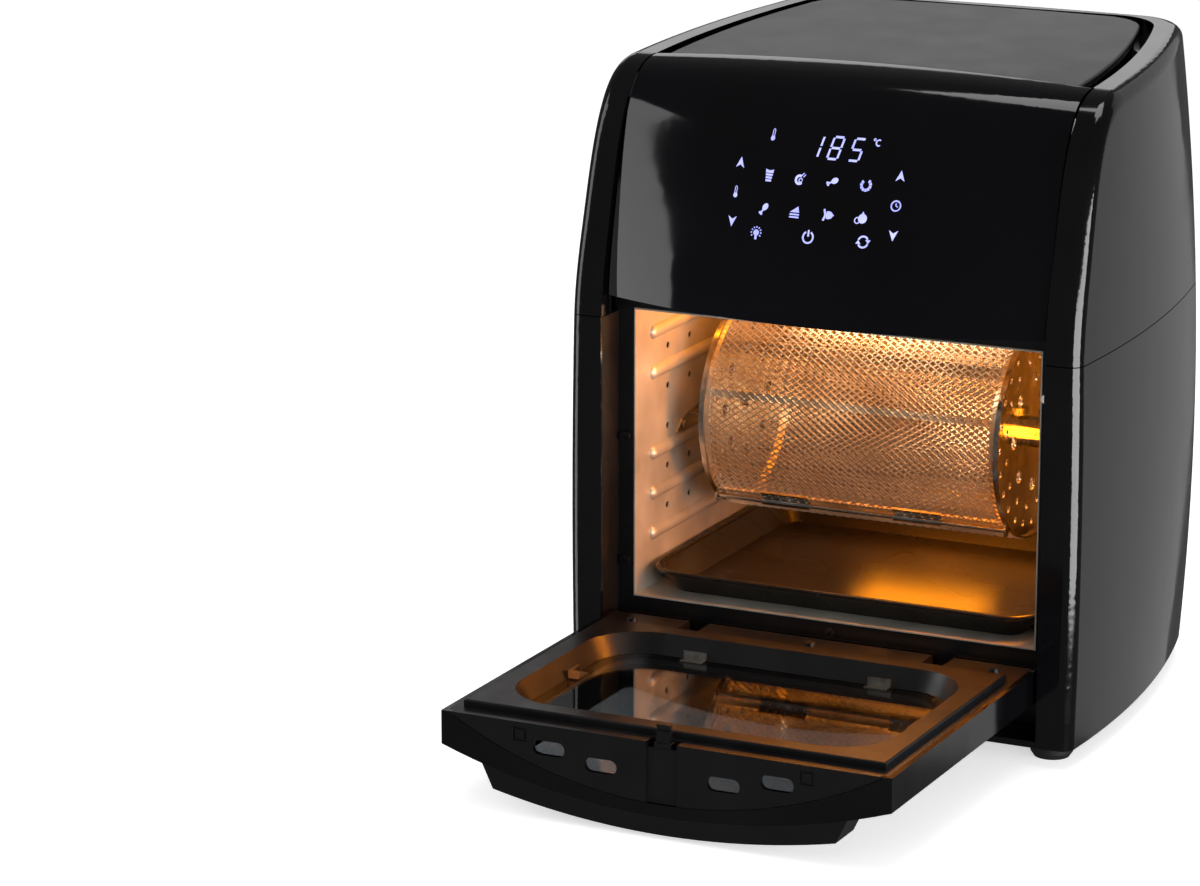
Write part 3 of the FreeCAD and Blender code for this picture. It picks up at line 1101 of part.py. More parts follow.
def make_shield():
    """A steel deck over the cavity, held off it by spacers, which carries the motor and boards."""
    body = new_body("heat_shield")
    sketch = new_sketch(body, "XY_Plane", "shield_plan")
    draw_rectangle(sketch, "-cavity_half + 4", "fan_y - 74", "cavity_half - 4", "cavity_back - 8")
    padded(body, sketch, "1", "shield_z")
    holes = new_sketch(body, "XY_Plane", "shield_holes")
    draw_circle(holes, "fan_shaft_d + 4", "0", "fan_y")
    for x in (-14, 14):
        draw_circle(holes, "heater_tube + 4", f"{x}", "fan_y + sqrt((heater_r + 14) ^ 2 - 14 ^ 2)")
    for x in ("-cavity_half + 14", "cavity_half - 14"):
        for y in ("fan_y - 64", "cavity_back - 18"):
            draw_circle(holes, "screw_d", x, y)
    pocketed(body, holes, "shield_z")
    places = [(x, y) for x in ("-cavity_half + 14", "cavity_half - 14")
              for y in ("fan_y - 64", "cavity_back - 18")]
    spacers = [rod(f"spacer_{i}", "8", "shield_z - cavity_top - steel_t", (x, y, "cavity_top + steel_t"))
               for i, (x, y) in enumerate(places)]
    bores = [rod(f"spacer_bore_{i}", "screw_d", "40", (x, y, "cavity_top - 5"))
             for i, (x, y) in enumerate(places)]
    node(less("spacer_form", joined("spacers", *spacers), *bores), "shield_spacers")


def make_casing_screws():
    """The casing's screws: up through the feet, through the bezel and down into the spacers."""
    screws = [screw(V(x, y, 4), Z, s.base_z + s.base_t - 4.1) for x, y in foot_places()]
    screws += [screw(p, Y, 8) for p in bezel_seats()]
    screws += [screw(V(x, y, s.shield_z + 1), -Z, 11) for x in (14 - s.cavity_half, s.cavity_half - 14)
               for y in (s.fan_y - 64, s.cavity_back - 18)]
    feature("casing_screws", Part.makeCompound(screws))


def make_motor():
    """A shaded-pole motor on the deck: laminated stack, coil and two bearing bridges."""
    stack = block("stack", ("58", "46", "16"), ("-29", "fan_y - 18", "motor_z + 6"))
    coil = block("coil", ("26", "14", "26"), ("-13", "fan_y + 20", "motor_z + 1"))
    low = block("bridge_low", ("46", "10", "3"), ("-23", "fan_y - 5", "motor_z + 1"))
    high = block("bridge_high", ("46", "10", "3"), ("-23", "fan_y - 5", "motor_z + 26"))
    posts = [rod(f"motor_post_{i}", "5", "motor_z - shield_z + 28", (x, "fan_y", "shield_z + 1"))
             for i, x in enumerate(("-20", "20"))]
    bore = rod("motor_bore", "fan_shaft_d + 0.6", "60", ("0", "fan_y", "motor_z - 5"))
    node(less("fan_motor_form", joined("motor_solid", stack, coil, low, high, *posts), bore), "fan_motor")


def make_electrics():
    """Power board, thermal cut-out, temperature probe, rear grille and the cord's gland."""
    board = block("board_plate", ("62", "84", "1.6"), ("-cavity_half + 10", "-20", "shield_z + 6"))
    relay = block("relay", ("16", "19", "15"), ("-cavity_half + 16", "-12", "shield_z + 7.6"))
    choke = rod("choke", "18", "12", ("-cavity_half + 52", "8", "shield_z + 7.6"))
    capacitor = block("capacitor", ("8", "18", "14"), ("-cavity_half + 50", "30", "shield_z + 7.6"))
    posts = [rod(f"board_post_{i}", "6", "5", (x, y, "shield_z + 1"))
             for i, (x, y) in enumerate((x, y) for x in ("-cavity_half + 15", "-cavity_half + 67")
                                        for y in ("-15", "59"))]
    node(joined("power_board_form", board, relay, choke, capacitor, *posts), "power_board")
    node(joined("cutout_form",
                rod("cutout_cup", "15", "9", ("60", "40", "cavity_top + steel_t")),
                block("cutout_tabs", ("4", "22", "1"), ("58", "29",
                                                        "cavity_top + steel_t + 5"))), "thermal_cutout")
    node(rod("probe", "4.6", "34", ("-70", "cavity_back - 24", "cavity_top - 40"), "y"),
         "temperature_probe")


def make_rear(inner, lower):
    """The exhaust grille in the back of the upper casing and the cord gland low in the lower one."""
    y = y_rear()
    plate = cuboid(-62, 62, y - s.wall - 3.4, y, grille_z() - 24, grille_z() + 24).common(inner)
    slots = [cuboid(x, x + 3.4, y - 20, y + 20, grille_z() - 19, grille_z() + 19) for x in range(-54, 55,
                                                                                                 8)]
    feature("rear_grille", plate.cut(Part.makeCompound(slots)))
    p = gland_at()
    gland = bar(13, p - Y * 8, p + Y * 2).fuse(bar(17, p - Y * 2, p + Y * 4)).fuse(bar(19, p - Y * 9,
                                                                                       p - Y * 6))
    gland = gland.cut(bar(7, p - Y * 10, p + Y * 5)).cut(lower)
    feature("cord_gland", max(gland.Solids, key=lambda solid: solid.Volume))


def grille_z():
    return s.body_top - 62


def gland_at():
    """Where the cord's axis meets the outer face of the casing's back."""
    return V(80, y_rear() - s.rear_bow * 0.4, s.base_z + 26)


def main():
    inner, lower = make_housings()
    make_top_cover()
    make_panel()
    make_bezel()
    make_base(inner)
    make_liner()
    make_lamp()
    make_bracket()
    make_stands()
    make_basket()
    make_discs()
    make_spit()
    make_gearmotor()
    make_tray()
    make_door()
    make_fan()
    make_heater()
    make_shield()
    make_casing_screws()
    make_motor()
    make_electrics()
    make_rear(inner, lower)
    doc.recompute()
    for obj in doc.Objects:
        if "Invalid" in obj.State or "Error" in obj.State:
            raise RuntimeError(f"{obj.Label} did not compute: {obj.State}")
    os.makedirs("parts", exist_ok=True)
    for piece in nodes:
        shape = piece.Shape
        if shape.isNull() or not shape.isValid():
            raise RuntimeError(f"{piece.Label} has no valid shape")
        shape.exportStep(f"parts/{piece.Label}.step")
        box = shape.BoundBox
        print(f"{piece.Label:20s} solids {len(shape.Solids)} volume {shape.Volume / 1000:8.1f} cm3")
        print(f"    x {box.XMin:.1f} {box.XMax:.1f} y {box.YMin:.1f} {box.YMax:.1f}",
              f"z {box.ZMin:.1f} {box.ZMax:.1f}")


main()
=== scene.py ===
import bpy
import bmesh
import json
import math
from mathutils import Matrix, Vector
from mathutils.bvhtree import BVHTree


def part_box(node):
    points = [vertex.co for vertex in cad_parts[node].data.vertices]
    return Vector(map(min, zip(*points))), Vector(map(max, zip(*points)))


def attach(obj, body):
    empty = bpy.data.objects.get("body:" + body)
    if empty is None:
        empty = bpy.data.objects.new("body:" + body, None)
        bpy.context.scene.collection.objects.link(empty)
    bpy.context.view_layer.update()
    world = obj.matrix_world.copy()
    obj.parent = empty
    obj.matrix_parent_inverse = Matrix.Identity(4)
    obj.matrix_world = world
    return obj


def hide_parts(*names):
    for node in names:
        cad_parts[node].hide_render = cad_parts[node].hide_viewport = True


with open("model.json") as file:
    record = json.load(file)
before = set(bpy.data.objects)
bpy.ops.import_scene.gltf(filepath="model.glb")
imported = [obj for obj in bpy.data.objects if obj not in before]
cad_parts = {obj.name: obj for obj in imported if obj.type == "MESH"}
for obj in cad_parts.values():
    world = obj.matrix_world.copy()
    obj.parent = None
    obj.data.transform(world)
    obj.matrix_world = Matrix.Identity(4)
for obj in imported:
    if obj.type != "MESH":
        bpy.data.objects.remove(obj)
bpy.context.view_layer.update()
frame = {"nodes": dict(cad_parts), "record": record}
MM = 0.001


# ---------------------------------------------------------------- colours and nodes

def rgb(code):
    """A linear colour from its sRGB hex value."""
    parts = [int(code[i:i + 2], 16) / 255 for i in (1, 3, 5)]
    return tuple(p / 12.92 if p <= 0.04045 else ((p + 0.055) / 1.055) ** 2.4 for p in parts) + (1.0,)


def add(tree, kind, inputs=None, **settings):
    """Adds a node: its settings are attributes, and its inputs are values or the sockets that feed them."""
    node = tree.nodes.new(kind)
    for key, value in settings.items():
        setattr(node, key, value)
    for key, value in (inputs or {}).items():
        socket = node.inputs[key]
        if isinstance(value, bpy.types.NodeSocket):
            tree.links.new(value, socket)
        else:
            socket.default_value = value
    return node


def surface(name, colour, roughness, patterns, **uniform):
    """A Principled material with uniform values on its own sockets, and patterns over them.

    A pattern is noise: its size in millimetres, its detail, its stretch and what it feeds. A fed socket
    has its low and high ends, and Normal has its depth in millimetres and its strength."""
    made = bpy.data.materials.new(name)
    made.use_nodes = True
    tree = made.node_tree
    shader = tree.nodes["Principled BSDF"]
    shader.inputs["Base Color"].default_value = rgb(colour)
    shader.inputs["Roughness"].default_value = roughness
    for key, value in uniform.items():
        shader.inputs[key.replace("_", " ")].default_value = value
    coords = add(tree, "ShaderNodeTexCoord").outputs["Object"]
    for size_mm, detail, stretch, feeds in patterns:
        where = add(tree, "ShaderNodeMapping", {"Vector": coords, "Scale": stretch}).outputs["Vector"]
        noise = add(tree, "ShaderNodeTexNoise", {"Vector": where, "Scale": 1 / (size_mm * MM),
                                                 "Detail": detail}).outputs["Fac"]
        for socket, (low, high, *middle) in feeds.items():
            if socket == "Normal":
                value = add(tree, "ShaderNodeBump", {"Height": noise, "Distance": low * MM,
                                                     "Strength": high}).outputs["Normal"]
            else:
                coloured = socket.endswith("Color")
                start, end = middle or NOISE_MIDDLE
                to_low, to_high = (0.0, 1.0) if coloured else (low, high)
                value = add(tree, "ShaderNodeMapRange", {"Value": noise, "From Min": start, "From Max": end,
                                                         "To Min": to_low, "To Max": to_high}).outputs[0]
                if coloured:
                    value = add(tree, "ShaderNodeMix", {"Factor": value, "A": rgb(low), "B": rgb(high)},
                                data_type="RGBA").outputs["Result"]
            tree.links.new(value, shader.inputs[socket])
    return made


# ---------------------------------------------------------------- finishes

NOISE_MIDDLE = (0.3, 0.7)   # the part of the noise's range that is spread over a fed socket
EVEN = (1, 1, 1)
ROLLED = (1, 40, 40)        # long lines across the object
WIPED = (1, 3, 1)


def gloss_abs():
    """Injection-moulded high-gloss ABS: near-black, mirror-like, with the faint long ripple of moulding."""
    return surface("gloss_black_abs", "#050506", 0.09, [
        (38, 2.0, EVEN, {"Roughness": (0.06, 0.13)}),
        (90, 2.0, EVEN, {"Base Color": ("#040405", "#08080a")}),
        (26, 1.0, EVEN, {"Normal": (0.03, 1.0)}),
    ], IOR=1.52)


def touch_acrylic():
    """Back-printed acrylic touch panel: deep black and very flat gloss, with a trace of haze."""
    return surface("piano_black_acrylic", "#020204", 0.05, [
        (55, 2.0, EVEN, {"Roughness": (0.04, 0.09)}),
        (120, 2.0, EVEN, {"Base Color": ("#010102", "#040408")}),
    ], IOR=1.49)


def satin_abs(name, dark, light, rough_low, rough_high, grain_mm=0.9, strength=0.6):
    """Spark-eroded satin ABS: fine leathery grain that breaks up the highlights."""
    return surface(name, dark, rough_high, [
        (24, 2.0, EVEN, {"Roughness": (rough_low, rough_high)}),
        (grain_mm, 3.0, EVEN, {"Base Color": (dark, light), "Normal": (0.03, strength)}),
    ], IOR=1.5)


def rolled_steel(name, dark, light, rough_low, rough_high, metallic=1.0):
    """Cold-rolled stainless sheet: fine rolling lines along one way and a soft, cloudy sheen."""
    return surface(name, light, rough_low, [
        (30, 2.0, EVEN, {"Base Color": (dark, light)}),
        (30, 4.0, ROLLED, {"Roughness": (rough_low, rough_high), "Normal": (0.02, 0.35)}),
    ], Metallic=metallic)


def polished_steel():
    """Polished stainless: bright and nearly mirror-like, with faint buffing swirls."""
    return surface("polished_stainless", "#cfcac2", 0.15, [
        (3, 4.0, EVEN, {"Roughness": (0.1, 0.24), "Normal": (0.01, 0.3)}),
        (12, 2.0, EVEN, {"Base Color": ("#b9b3aa", "#dcd8d0")}),
    ], Metallic=1.0)


def nonstick():
    """Sprayed non-stick coat on pressed steel: dark brown-grey with a fine speckle and a soft shine."""
    return surface("nonstick_coat", "#1d1815", 0.26, [
        (0.8, 2.0, EVEN, {"Base Color": ("#171310", "#3a322b", 0.5, 0.75), "Normal": (0.01, 0.2)}),
        (60, 2.0, EVEN, {"Roughness": (0.24, 0.3)}),
    ], Metallic=0.35)


def clear_glass(name, tint, roughness):
    """Tempered soda-lime glass: clear, with faint wipe marks in its sheen."""
    return surface(name, tint, roughness, [
        (40, 3.0, WIPED, {"Roughness": (roughness, roughness + 0.03)}),
    ], IOR=1.5, Transmission_Weight=1.0)


def moulded_rubber(name, dark, light):
    """Moulded rubber: dull, slightly dusty and softly pitted."""
    return surface(name, dark, 0.7, [
        (1.2, 3.0, EVEN, {"Base Color": (dark, light), "Roughness": (0.6, 0.85), "Normal": (0.05, 0.5)}),
    ])


def mottled(name, dark, light, rough_low, rough_high, size_mm=4, metallic=0.0):
    """A cast, fired or plated surface: mottled colour and uneven sheen at one scale."""
    return surface(name, light, rough_low, [
        (size_mm, 3.0, EVEN, {"Base Color": (dark, light), "Roughness": (rough_low, rough_high),
                              "Normal": (0.03, 0.4)}),
    ], Metallic=metallic)


def lit(name, colour, roughness, strength, size_mm, low, high):
    """A glowing surface whose light is a little uneven, as behind a diffuser or a glass cap."""
    return surface(name, colour, roughness, [(size_mm, 2.0, EVEN, {"Emission Color": (low, high)})],
                   Emission_Strength=strength)


FINISHES = {
    "black_gloss": gloss_abs(),
    "black_satin": satin_abs("satin_black_abs", "#070708", "#0e0e10", 0.3, 0.42),
    "panel_acrylic": touch_acrylic(),
    "display": mottled("display_module", "#15151c", "#20202a", 0.3, 0.5),
    "steel": rolled_steel("rolled_stainless", "#a39a8c", "#c7bfb2", 0.24, 0.4),
    "polished_steel": polished_steel(),
    "mesh_steel": rolled_steel("expanded_stainless", "#c9bda8", "#f0e8d8", 0.26, 0.4),
    "liner_steel": rolled_steel("liner_stainless", "#a39d92", "#c2bdb2", 0.34, 0.5, metallic=0.55),
    "tray_enamel": nonstick(),
    "galvanised": mottled("zinc_plate", "#8a8f94", "#b7bcc0", 0.35, 0.55, 8, 1.0),
    "glass": clear_glass("tempered_glass", "#f2f5f4", 0.0),
    "smoked_glass": clear_glass("smoked_glass", "#5a5d60", 0.02),
    "rubber": moulded_rubber("black_rubber", "#0b0b0c", "#161617"),
    "silicone": moulded_rubber("silicone_seal", "#101010", "#1a1a1a"),
    "board": mottled("circuit_board", "#0d3a1c", "#1a5a2c", 0.35, 0.5, 2),
    "pom": mottled("acetal", "#d3d0c6", "#e6e3da", 0.35, 0.5, 6),
    "laminate": mottled("motor_lamination", "#2c2d30", "#4a4c50", 0.4, 0.6, 3, 0.8),
    "heater": mottled("heater_sheath", "#3a3633", "#5c5650", 0.4, 0.6, 5, 0.8),
    "ceramic": mottled("lamp_ceramic", "#d8d4ca", "#eeebe2", 0.3, 0.5, 7),
    "screw_steel": mottled("black_oxide_screw", "#3a3b3d", "#505255", 0.35, 0.5, 2, 1.0),
}


OWN_FINISHES = {
    "top_cover": satin_abs("satin_cover_abs", "#0b0b0c", "#101012", 0.3, 0.33, 0.6, 0.12),
    "lamp_bulb": lit("halogen_glow", "#ffd9a0", 0.3, 12.0, 4, "#ffb45a", "#ffe2b4"),
    "cavity_liner": FINISHES["liner_steel"],
}
SYMBOL_LIGHT = lit("backlit_symbol", "#8f95d8", 0.4, 0.8, 9, "#8d8ff0", "#c3c4ff")


def dress_cad():
    """Every CAD node takes the finish of its material slot, and a few nodes take one of their own."""
    slots = {part["node"]: part["material_slot"] for part in frame["record"]["subparts"]}
    for name, obj in frame["nodes"].items():
        obj.data.materials.clear()
        obj.data.materials.append(OWN_FINISHES.get(name, FINISHES[slots[name]]))


# ---------------------------------------------------------------- meshes

def finished(name, mesh, body, finish):
    """A finished piece at the origin, with its finish, on its body."""
    mesh.materials.clear()
    mesh.materials.append(finish)
    obj = bpy.data.objects.new(name, mesh)
    bpy.context.scene.collection.objects.link(obj)
    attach(obj, body)
    return obj


def closed_mesh(name, form, smooth=False):
    """A mesh from a bmesh, with its faces turned outwards."""
    bmesh.ops.recalc_face_normals(form, faces=form.faces)
    mesh = bpy.data.meshes.new(name)
    form.to_mesh(mesh)
    form.free()
    for face in mesh.polygons:
        face.use_smooth = smooth
    return mesh


# ---------------------------------------------------------------- back-lit symbols

ARC_STEP = 18                           # degrees between the points of an arc
SYMBOL_LIFT, SYMBOL_DEPTH = 0.12, 0.2   # how far the print stands out, and how thick it is, in mm


def panel_front():
    """Finds where the touch panel's front lies, for a place across and up it."""
    mesh = frame["nodes"]["control_panel"].data
    tree = BVHTree.FromPolygons([v.co for v in mesh.vertices], [p.vertices for p in mesh.polygons])
    return lambda x, z: tree.ray_cast(Vector((x * MM, -0.4, z * MM)), Vector((0, 1, 0)))[0].y


def arc(x, z, radius, start, end, squash=1.0):
    """Points on an arc, its angles in degrees from the right, anticlockwise."""
    count = max(4, int(abs(end - start) / ARC_STEP))
    angles = [math.radians(start + (end - start) * i / count) for i in range(count + 1)]
    return [(x + radius * math.cos(a), z + radius * squash * math.sin(a)) for a in angles]


def disc(x, z, radius, squash=1.0):
    """The outline of a full disc."""
    return arc(x, z, radius, 0, 360 - ARC_STEP, squash)


def stroke(points, width):
    """The outline of a line of even width through the points."""
    left, right = [], []
    for i, (x, z) in enumerate(points):
        (x1, z1), (x2, z2) = points[max(i - 1, 0)], points[min(i + 1, len(points) - 1)]
        length = math.hypot(x2 - x1, z2 - z1)
        ox, oz = (z1 - z2) / length * width / 2, (x2 - x1) / length * width / 2
        left.append((x + ox, z + oz))
        right.append((x - ox, z - oz))
    return left + right[::-1]


def hoop(x, z, radius, width):
    return [stroke(arc(x, z, radius, 0, 180), width), stroke(arc(x, z, radius, 180, 360), width)]


def thermometer():
    return [stroke([(-0.6, -1), (-0.6, 2.2), (0, 2.9), (0.6, 2.2), (0.6, -1)], 0.4), disc(0, -2, 1.25)]


def chevron(way):
    return [[(-2.6, -2.8 * way), (0, -1.2 * way), (2.6, -2.8 * way), (0, 2.8 * way)]]


def clock():
    return hoop(0, 0, 2.6, 0.7) + [stroke([(0, 1.5), (0, 0), (1.2, -0.5)], 0.6)]


def fries():
    rows = [[(-2.3 + 0.2 * k, 1.9 - 1.5 * k), (2.3 - 0.2 * k, 1.9 - 1.5 * k)] for k in range(4)]
    rim = [(-2.6, 3.2), (0, 2.6), (2.6, 3.2), (2.2, 2.5), (-2.2, 2.5)]
    return [stroke(row, 1.05) for row in rows] + [rim]


def steak():
    bone = [stroke(disc(0.6, -0.8, 1), 0.5)]
    return [stroke(arc(-0.2, -0.6, 2.1, 60, 320), 1.3)] + bone + [
        stroke([(1, 1.6), (2.1, 3)], 0.5), stroke([(2, 0.9), (3.2, 2.3)], 0.5)]


def drumstick(turn):
    """A leg of meat with its bone towards the lower left, turned by some degrees."""
    c, s = math.cos(math.radians(turn)), math.sin(math.radians(turn))
    parts = [disc(1.2, 0, 2.1, 0.72), stroke([(-3, 0), (0.2, 0)], 0.9), disc(-3, 0.5, 0.7),
             disc(-3, -0.5, 0.7)]
    return [[(x * c - z * s, x * s + z * c) for x, z in part] for part in parts]


def shrimp():
    return [stroke(arc(0, 0, 2.6, start, start + 26), 1.5) for start in range(130, 410, 33)]


def cake():
    return [[(-3, -0.2), (1.6, 3), (2.6, -0.2)], stroke([(-3, -1.3), (2.7, -1.3)], 0.8),
            stroke([(-3, -2.7), (2.7, -2.7)], 0.8)]


def fish():
    return [arc(0.2, 0, 2.6, -120, 120, 0.8), stroke([(-2.6, 3), (-1.6, 0), (-2.6, -3)], 1.1),
            [(2.2, 0.9), (3.6, 0), (2.2, -0.9)]]


def fruit():
    return [disc(0.9, -0.3, 2.5), [(0, 2.2), (1, 3.4), (1.5, 2.2)]] + hoop(-2, -1.4, 1.5, 0.55)


def lamp():
    rays = [[(2.5 * math.cos(a), 0.3 + 2.5 * math.sin(a)), (3.4 * math.cos(a), 0.3 + 3.4 * math.sin(a))]
            for a in (math.radians(30 * k) for k in range(-1, 8))]
    return [disc(0, 0.3, 1.7), stroke([(0, -1.2), (0, -3.2)], 1.3)] + [stroke(ray, 0.6) for ray in rays]


def power():
    return [stroke(arc(0, -0.2, 3, 118, 422), 0.95), stroke([(0, 0.2), (0, 3.6)], 1.0)]


def rotate():
    return [stroke(arc(0, 0, 2.9, 30, 160), 0.95), stroke(arc(0, 0, 2.9, 210, 340), 0.95),
            [(1.2, 1.1), (4.2, 1.1), (2.9, -0.8)], [(-4.2, -1.1), (-1.2, -1.1), (-2.9, 0.8)]]


def degrees_c():
    return hoop(-2, 1.5, 0.55, 0.4) + [stroke(arc(0.6, 0, 1.5, 55, 305), 0.65)]


def digit(segments):
    """A slanted seven-segment numeral: a is the top, then b to g clockwise with g in the middle."""
    w, h, lean = 3.0, 5.6, 0.18
    lines = {"a": ((-w, h), (w, h)), "b": ((w, h), (w, 0)), "c": ((w, 0), (w, -h)), "d": ((-w, -h), (w, -h)),
             "e": ((-w, 0), (-w, -h)), "f": ((-w, h), (-w, 0)), "g": ((-w, 0), (w, 0))}
    shapes = []
    for key in segments:
        (x1, z1), (x2, z2) = lines[key]
        dx, dz = (x2 - x1) * 0.09, (z2 - z1) * 0.09
        ends = [(x1 + dx, z1 + dz), (x2 - dx, z2 - dz)]
        shapes.append([(x + z * lean, z) for x, z in stroke(ends, 1.15)])
    return shapes


# Each symbol's shapes, and where its middle lies across and up the panel, in mm.
SYMBOLS = [
    (thermometer(), -34.5, 339.5), (digit("bc"), -7.6, 335.4), (digit("abcdefg"), 4.4, 335.4),
    (digit("afgcd"), 16.9, 335.4), (degrees_c(), 28, 339.7),
    (chevron(1), -51.2, 323.6), (chevron(1), 44.9, 324), (thermometer(), -51.2, 308.3),
    (clock(), 45, 308.5), (chevron(-1), -50.8, 292.5), (chevron(-1), 45.9, 293),
    (fries(), -32.2, 318.4), (steak(), -13.2, 318.4), (drumstick(25), 6.6, 318.4), (shrimp(), 26.1, 318),
    (drumstick(55), -31.9, 301), (cake(), -12.8, 301), (fish(), 7.1, 301), (fruit(), 26.4, 301),
    (lamp(), -34.5, 287.8), (power(), -2.7, 288.8), (rotate(), 29.6, 288.7),
]


def touch_symbols():
    """Thin lit shapes on the touch panel's front."""
    front = panel_front()
    form = bmesh.new()
    for shapes, x0, z0 in SYMBOLS:
        for shape in shapes:
            near = [form.verts.new((p * MM, front(p, q) - SYMBOL_LIFT * MM, q * MM))
                    for p, q in ((x + x0, z + z0) for x, z in shape)]
            far = [form.verts.new((v.co.x, v.co.y + SYMBOL_DEPTH * MM, v.co.z)) for v in near]
            form.faces.new(near)
            form.faces.new(far[::-1])
            for i in range(len(near)):
                j = (i + 1) % len(near)
                form.faces.new((near[j], near[i], far[i], far[j]))
    finished("touch_symbols", closed_mesh("touch_symbols", form), "casing", SYMBOL_LIGHT)


# ---------------------------------------------------------------- basket mesh

SPIT_Y, SPIT_Z = -8.5 * MM, 157.5 * MM   # the spit's axis, which runs along x
SHEET_R = 60.4 * MM                      # the radius of the middle of the mesh
CELL_LONG, CELL_ROUND = 5.6, 3.9         # a cell of the mesh along and round the spit, in mm
STRAND_WIDTH, STRAND_DEPTH = 0.7, 0.55   # in mm
END_BAND, BAND_IN, BAND_OUT = 2.4, 60.05, 60.8   # a plain band at either end: its width and radii, in mm
STRIP_STEP = 4                           # degrees between the sections of a bent strip

# The inputs of the geometry tree: name, kind and value at first.
MESH_INPUTS = (
    ("Start", "Float", 0.0), ("Length", "Float", 0.18), ("Columns", "Int", 40), ("Rows", "Int", 80),
    ("Low angle", "Float", 0.0), ("Sweep", "Float", 3.0), ("Radius", "Float", 0.06),
    ("Strand width", "Float", 0.0008), ("Strand depth", "Float", 0.0007), ("Material", "Material", None),
)

# Its sums: a name for the result, the operation and what goes in. The grid's points lie at across and up,
# each from -0.5 to 0.5.
MESH_SUMS = (
    ("cell", "DIVIDE", "Length", "Columns"),
    ("step", "DIVIDE", "Sweep", "Rows"),
    ("rise", "MULTIPLY", "step", "Radius"),
    ("share along", "ADD", "across", 0.5),
    ("length of middles", "SUBTRACT", "Length", "cell"),
    ("first middle", "MULTIPLY_ADD", "cell", 0.5, "Start"),
    ("along", "MULTIPLY_ADD", "share along", "length of middles", "first middle"),
    ("share round", "ADD", "up", 0.5),
    ("sweep of middles", "SUBTRACT", "Sweep", "step"),
    ("first angle", "MULTIPLY_ADD", "step", 0.5, "Low angle"),
    ("angle", "MULTIPLY_ADD", "share round", "sweep of middles", "first angle"),
    ("cosine", "COSINE", "angle"),
    ("sine", "SINE", "angle"),
    ("forward", "MULTIPLY", "Radius", -1.0),
    ("y", "MULTIPLY_ADD", "cosine", "forward", SPIT_Y),
    ("z", "MULTIPLY_ADD", "sine", "Radius", SPIT_Z),
    ("slope", "ARCTAN2", "rise", "cell"),
    ("other slope", "MULTIPLY", "slope", -1.0),
    ("rise squared", "MULTIPLY", "rise", "rise"),
    ("cell squared", "MULTIPLY", "cell", "cell"),
    ("strand squared", "ADD", "rise squared", "cell squared"),
    ("strand length", "SQRT", "strand squared"),
    ("facing", "SUBTRACT", math.pi / 2, "angle"),
)


def mesh_tree():
    """Expanded-metal mesh bent round the spit: crossed strands in every cell of a curved grid."""
    tree = bpy.data.node_groups.new("expanded_mesh", "GeometryNodeTree")
    for name, kind, value in MESH_INPUTS:
        socket = tree.interface.new_socket(name, in_out="INPUT", socket_type="NodeSocket" + kind)
        if value is not None:
            socket.default_value = value
    tree.interface.new_socket("Geometry", in_out="OUTPUT", socket_type="NodeSocketGeometry")
    given = add(tree, "NodeGroupInput").outputs
    grid = add(tree, "GeometryNodeMeshGrid", {"Size X": 1.0, "Size Y": 1.0, "Vertices X": given["Columns"],
                                              "Vertices Y": given["Rows"]}).outputs["Mesh"]
    position = add(tree, "GeometryNodeInputPosition").outputs[0]
    at = add(tree, "ShaderNodeSeparateXYZ", {0: position}).outputs
    known = {name: given[name] for name, *_ in MESH_INPUTS}
    known.update(across=at["X"], up=at["Y"])
    for name, operation, *values in MESH_SUMS:
        inputs = {i: known.get(value, value) for i, value in enumerate(values)}
        known[name] = add(tree, "ShaderNodeMath", inputs, operation=operation).outputs[0]
    middle = add(tree, "ShaderNodeCombineXYZ", {"X": known["along"], "Y": known["y"],
                                                "Z": known["z"]}).outputs[0]
    curved = add(tree, "GeometryNodeSetPosition", {"Geometry": grid, "Position": middle}).outputs[0]
    size = add(tree, "ShaderNodeCombineXYZ", {"X": known["strand length"], "Y": given["Strand width"],
                                              "Z": given["Strand depth"]}).outputs[0]
    strand = add(tree, "GeometryNodeMeshCube", {"Size": size}).outputs["Mesh"]
    pair = add(tree, "GeometryNodeJoinGeometry")
    for lean in ("slope", "other slope"):
        turn = add(tree, "ShaderNodeCombineXYZ", {"Z": known[lean]}).outputs[0]
        leaning = add(tree, "GeometryNodeTransform", {"Geometry": strand, "Rotation": turn}).outputs[0]
        tree.links.new(leaning, pair.inputs[0])
    facing = add(tree, "ShaderNodeCombineXYZ", {"X": known["facing"]}).outputs[0]
    cells = add(tree, "GeometryNodeInstanceOnPoints", {"Points": curved, "Instance": pair.outputs[0],
                                                       "Rotation": facing}).outputs[0]
    real = add(tree, "GeometryNodeRealizeInstances", {"Geometry": cells}).outputs[0]
    dressed = add(tree, "GeometryNodeSetMaterial", {"Geometry": real,
                                                    "Material": given["Material"]}).outputs[0]
    add(tree, "NodeGroupOutput", {"Geometry": dressed})
    return tree


def grown(tree, settings):
    """The plain mesh that a geometry tree makes with these settings."""
    holder = bpy.data.objects.new("holder", bpy.data.meshes.new("holder"))
    bpy.context.scene.collection.objects.link(holder)
    nodes = holder.modifiers.new("nodes", "NODES")
    nodes.node_group = tree
    sockets = {item.name: item.identifier for item in tree.interface.items_tree if item.in_out == "INPUT"}
    for name, value in settings.items():
        nodes[sockets[name]] = value
    bpy.context.view_layer.update()
    evaluated = holder.evaluated_get(bpy.context.evaluated_depsgraph_get())
    mesh = bpy.data.meshes.new_from_object(evaluated)
    bpy.data.objects.remove(holder)
    return mesh


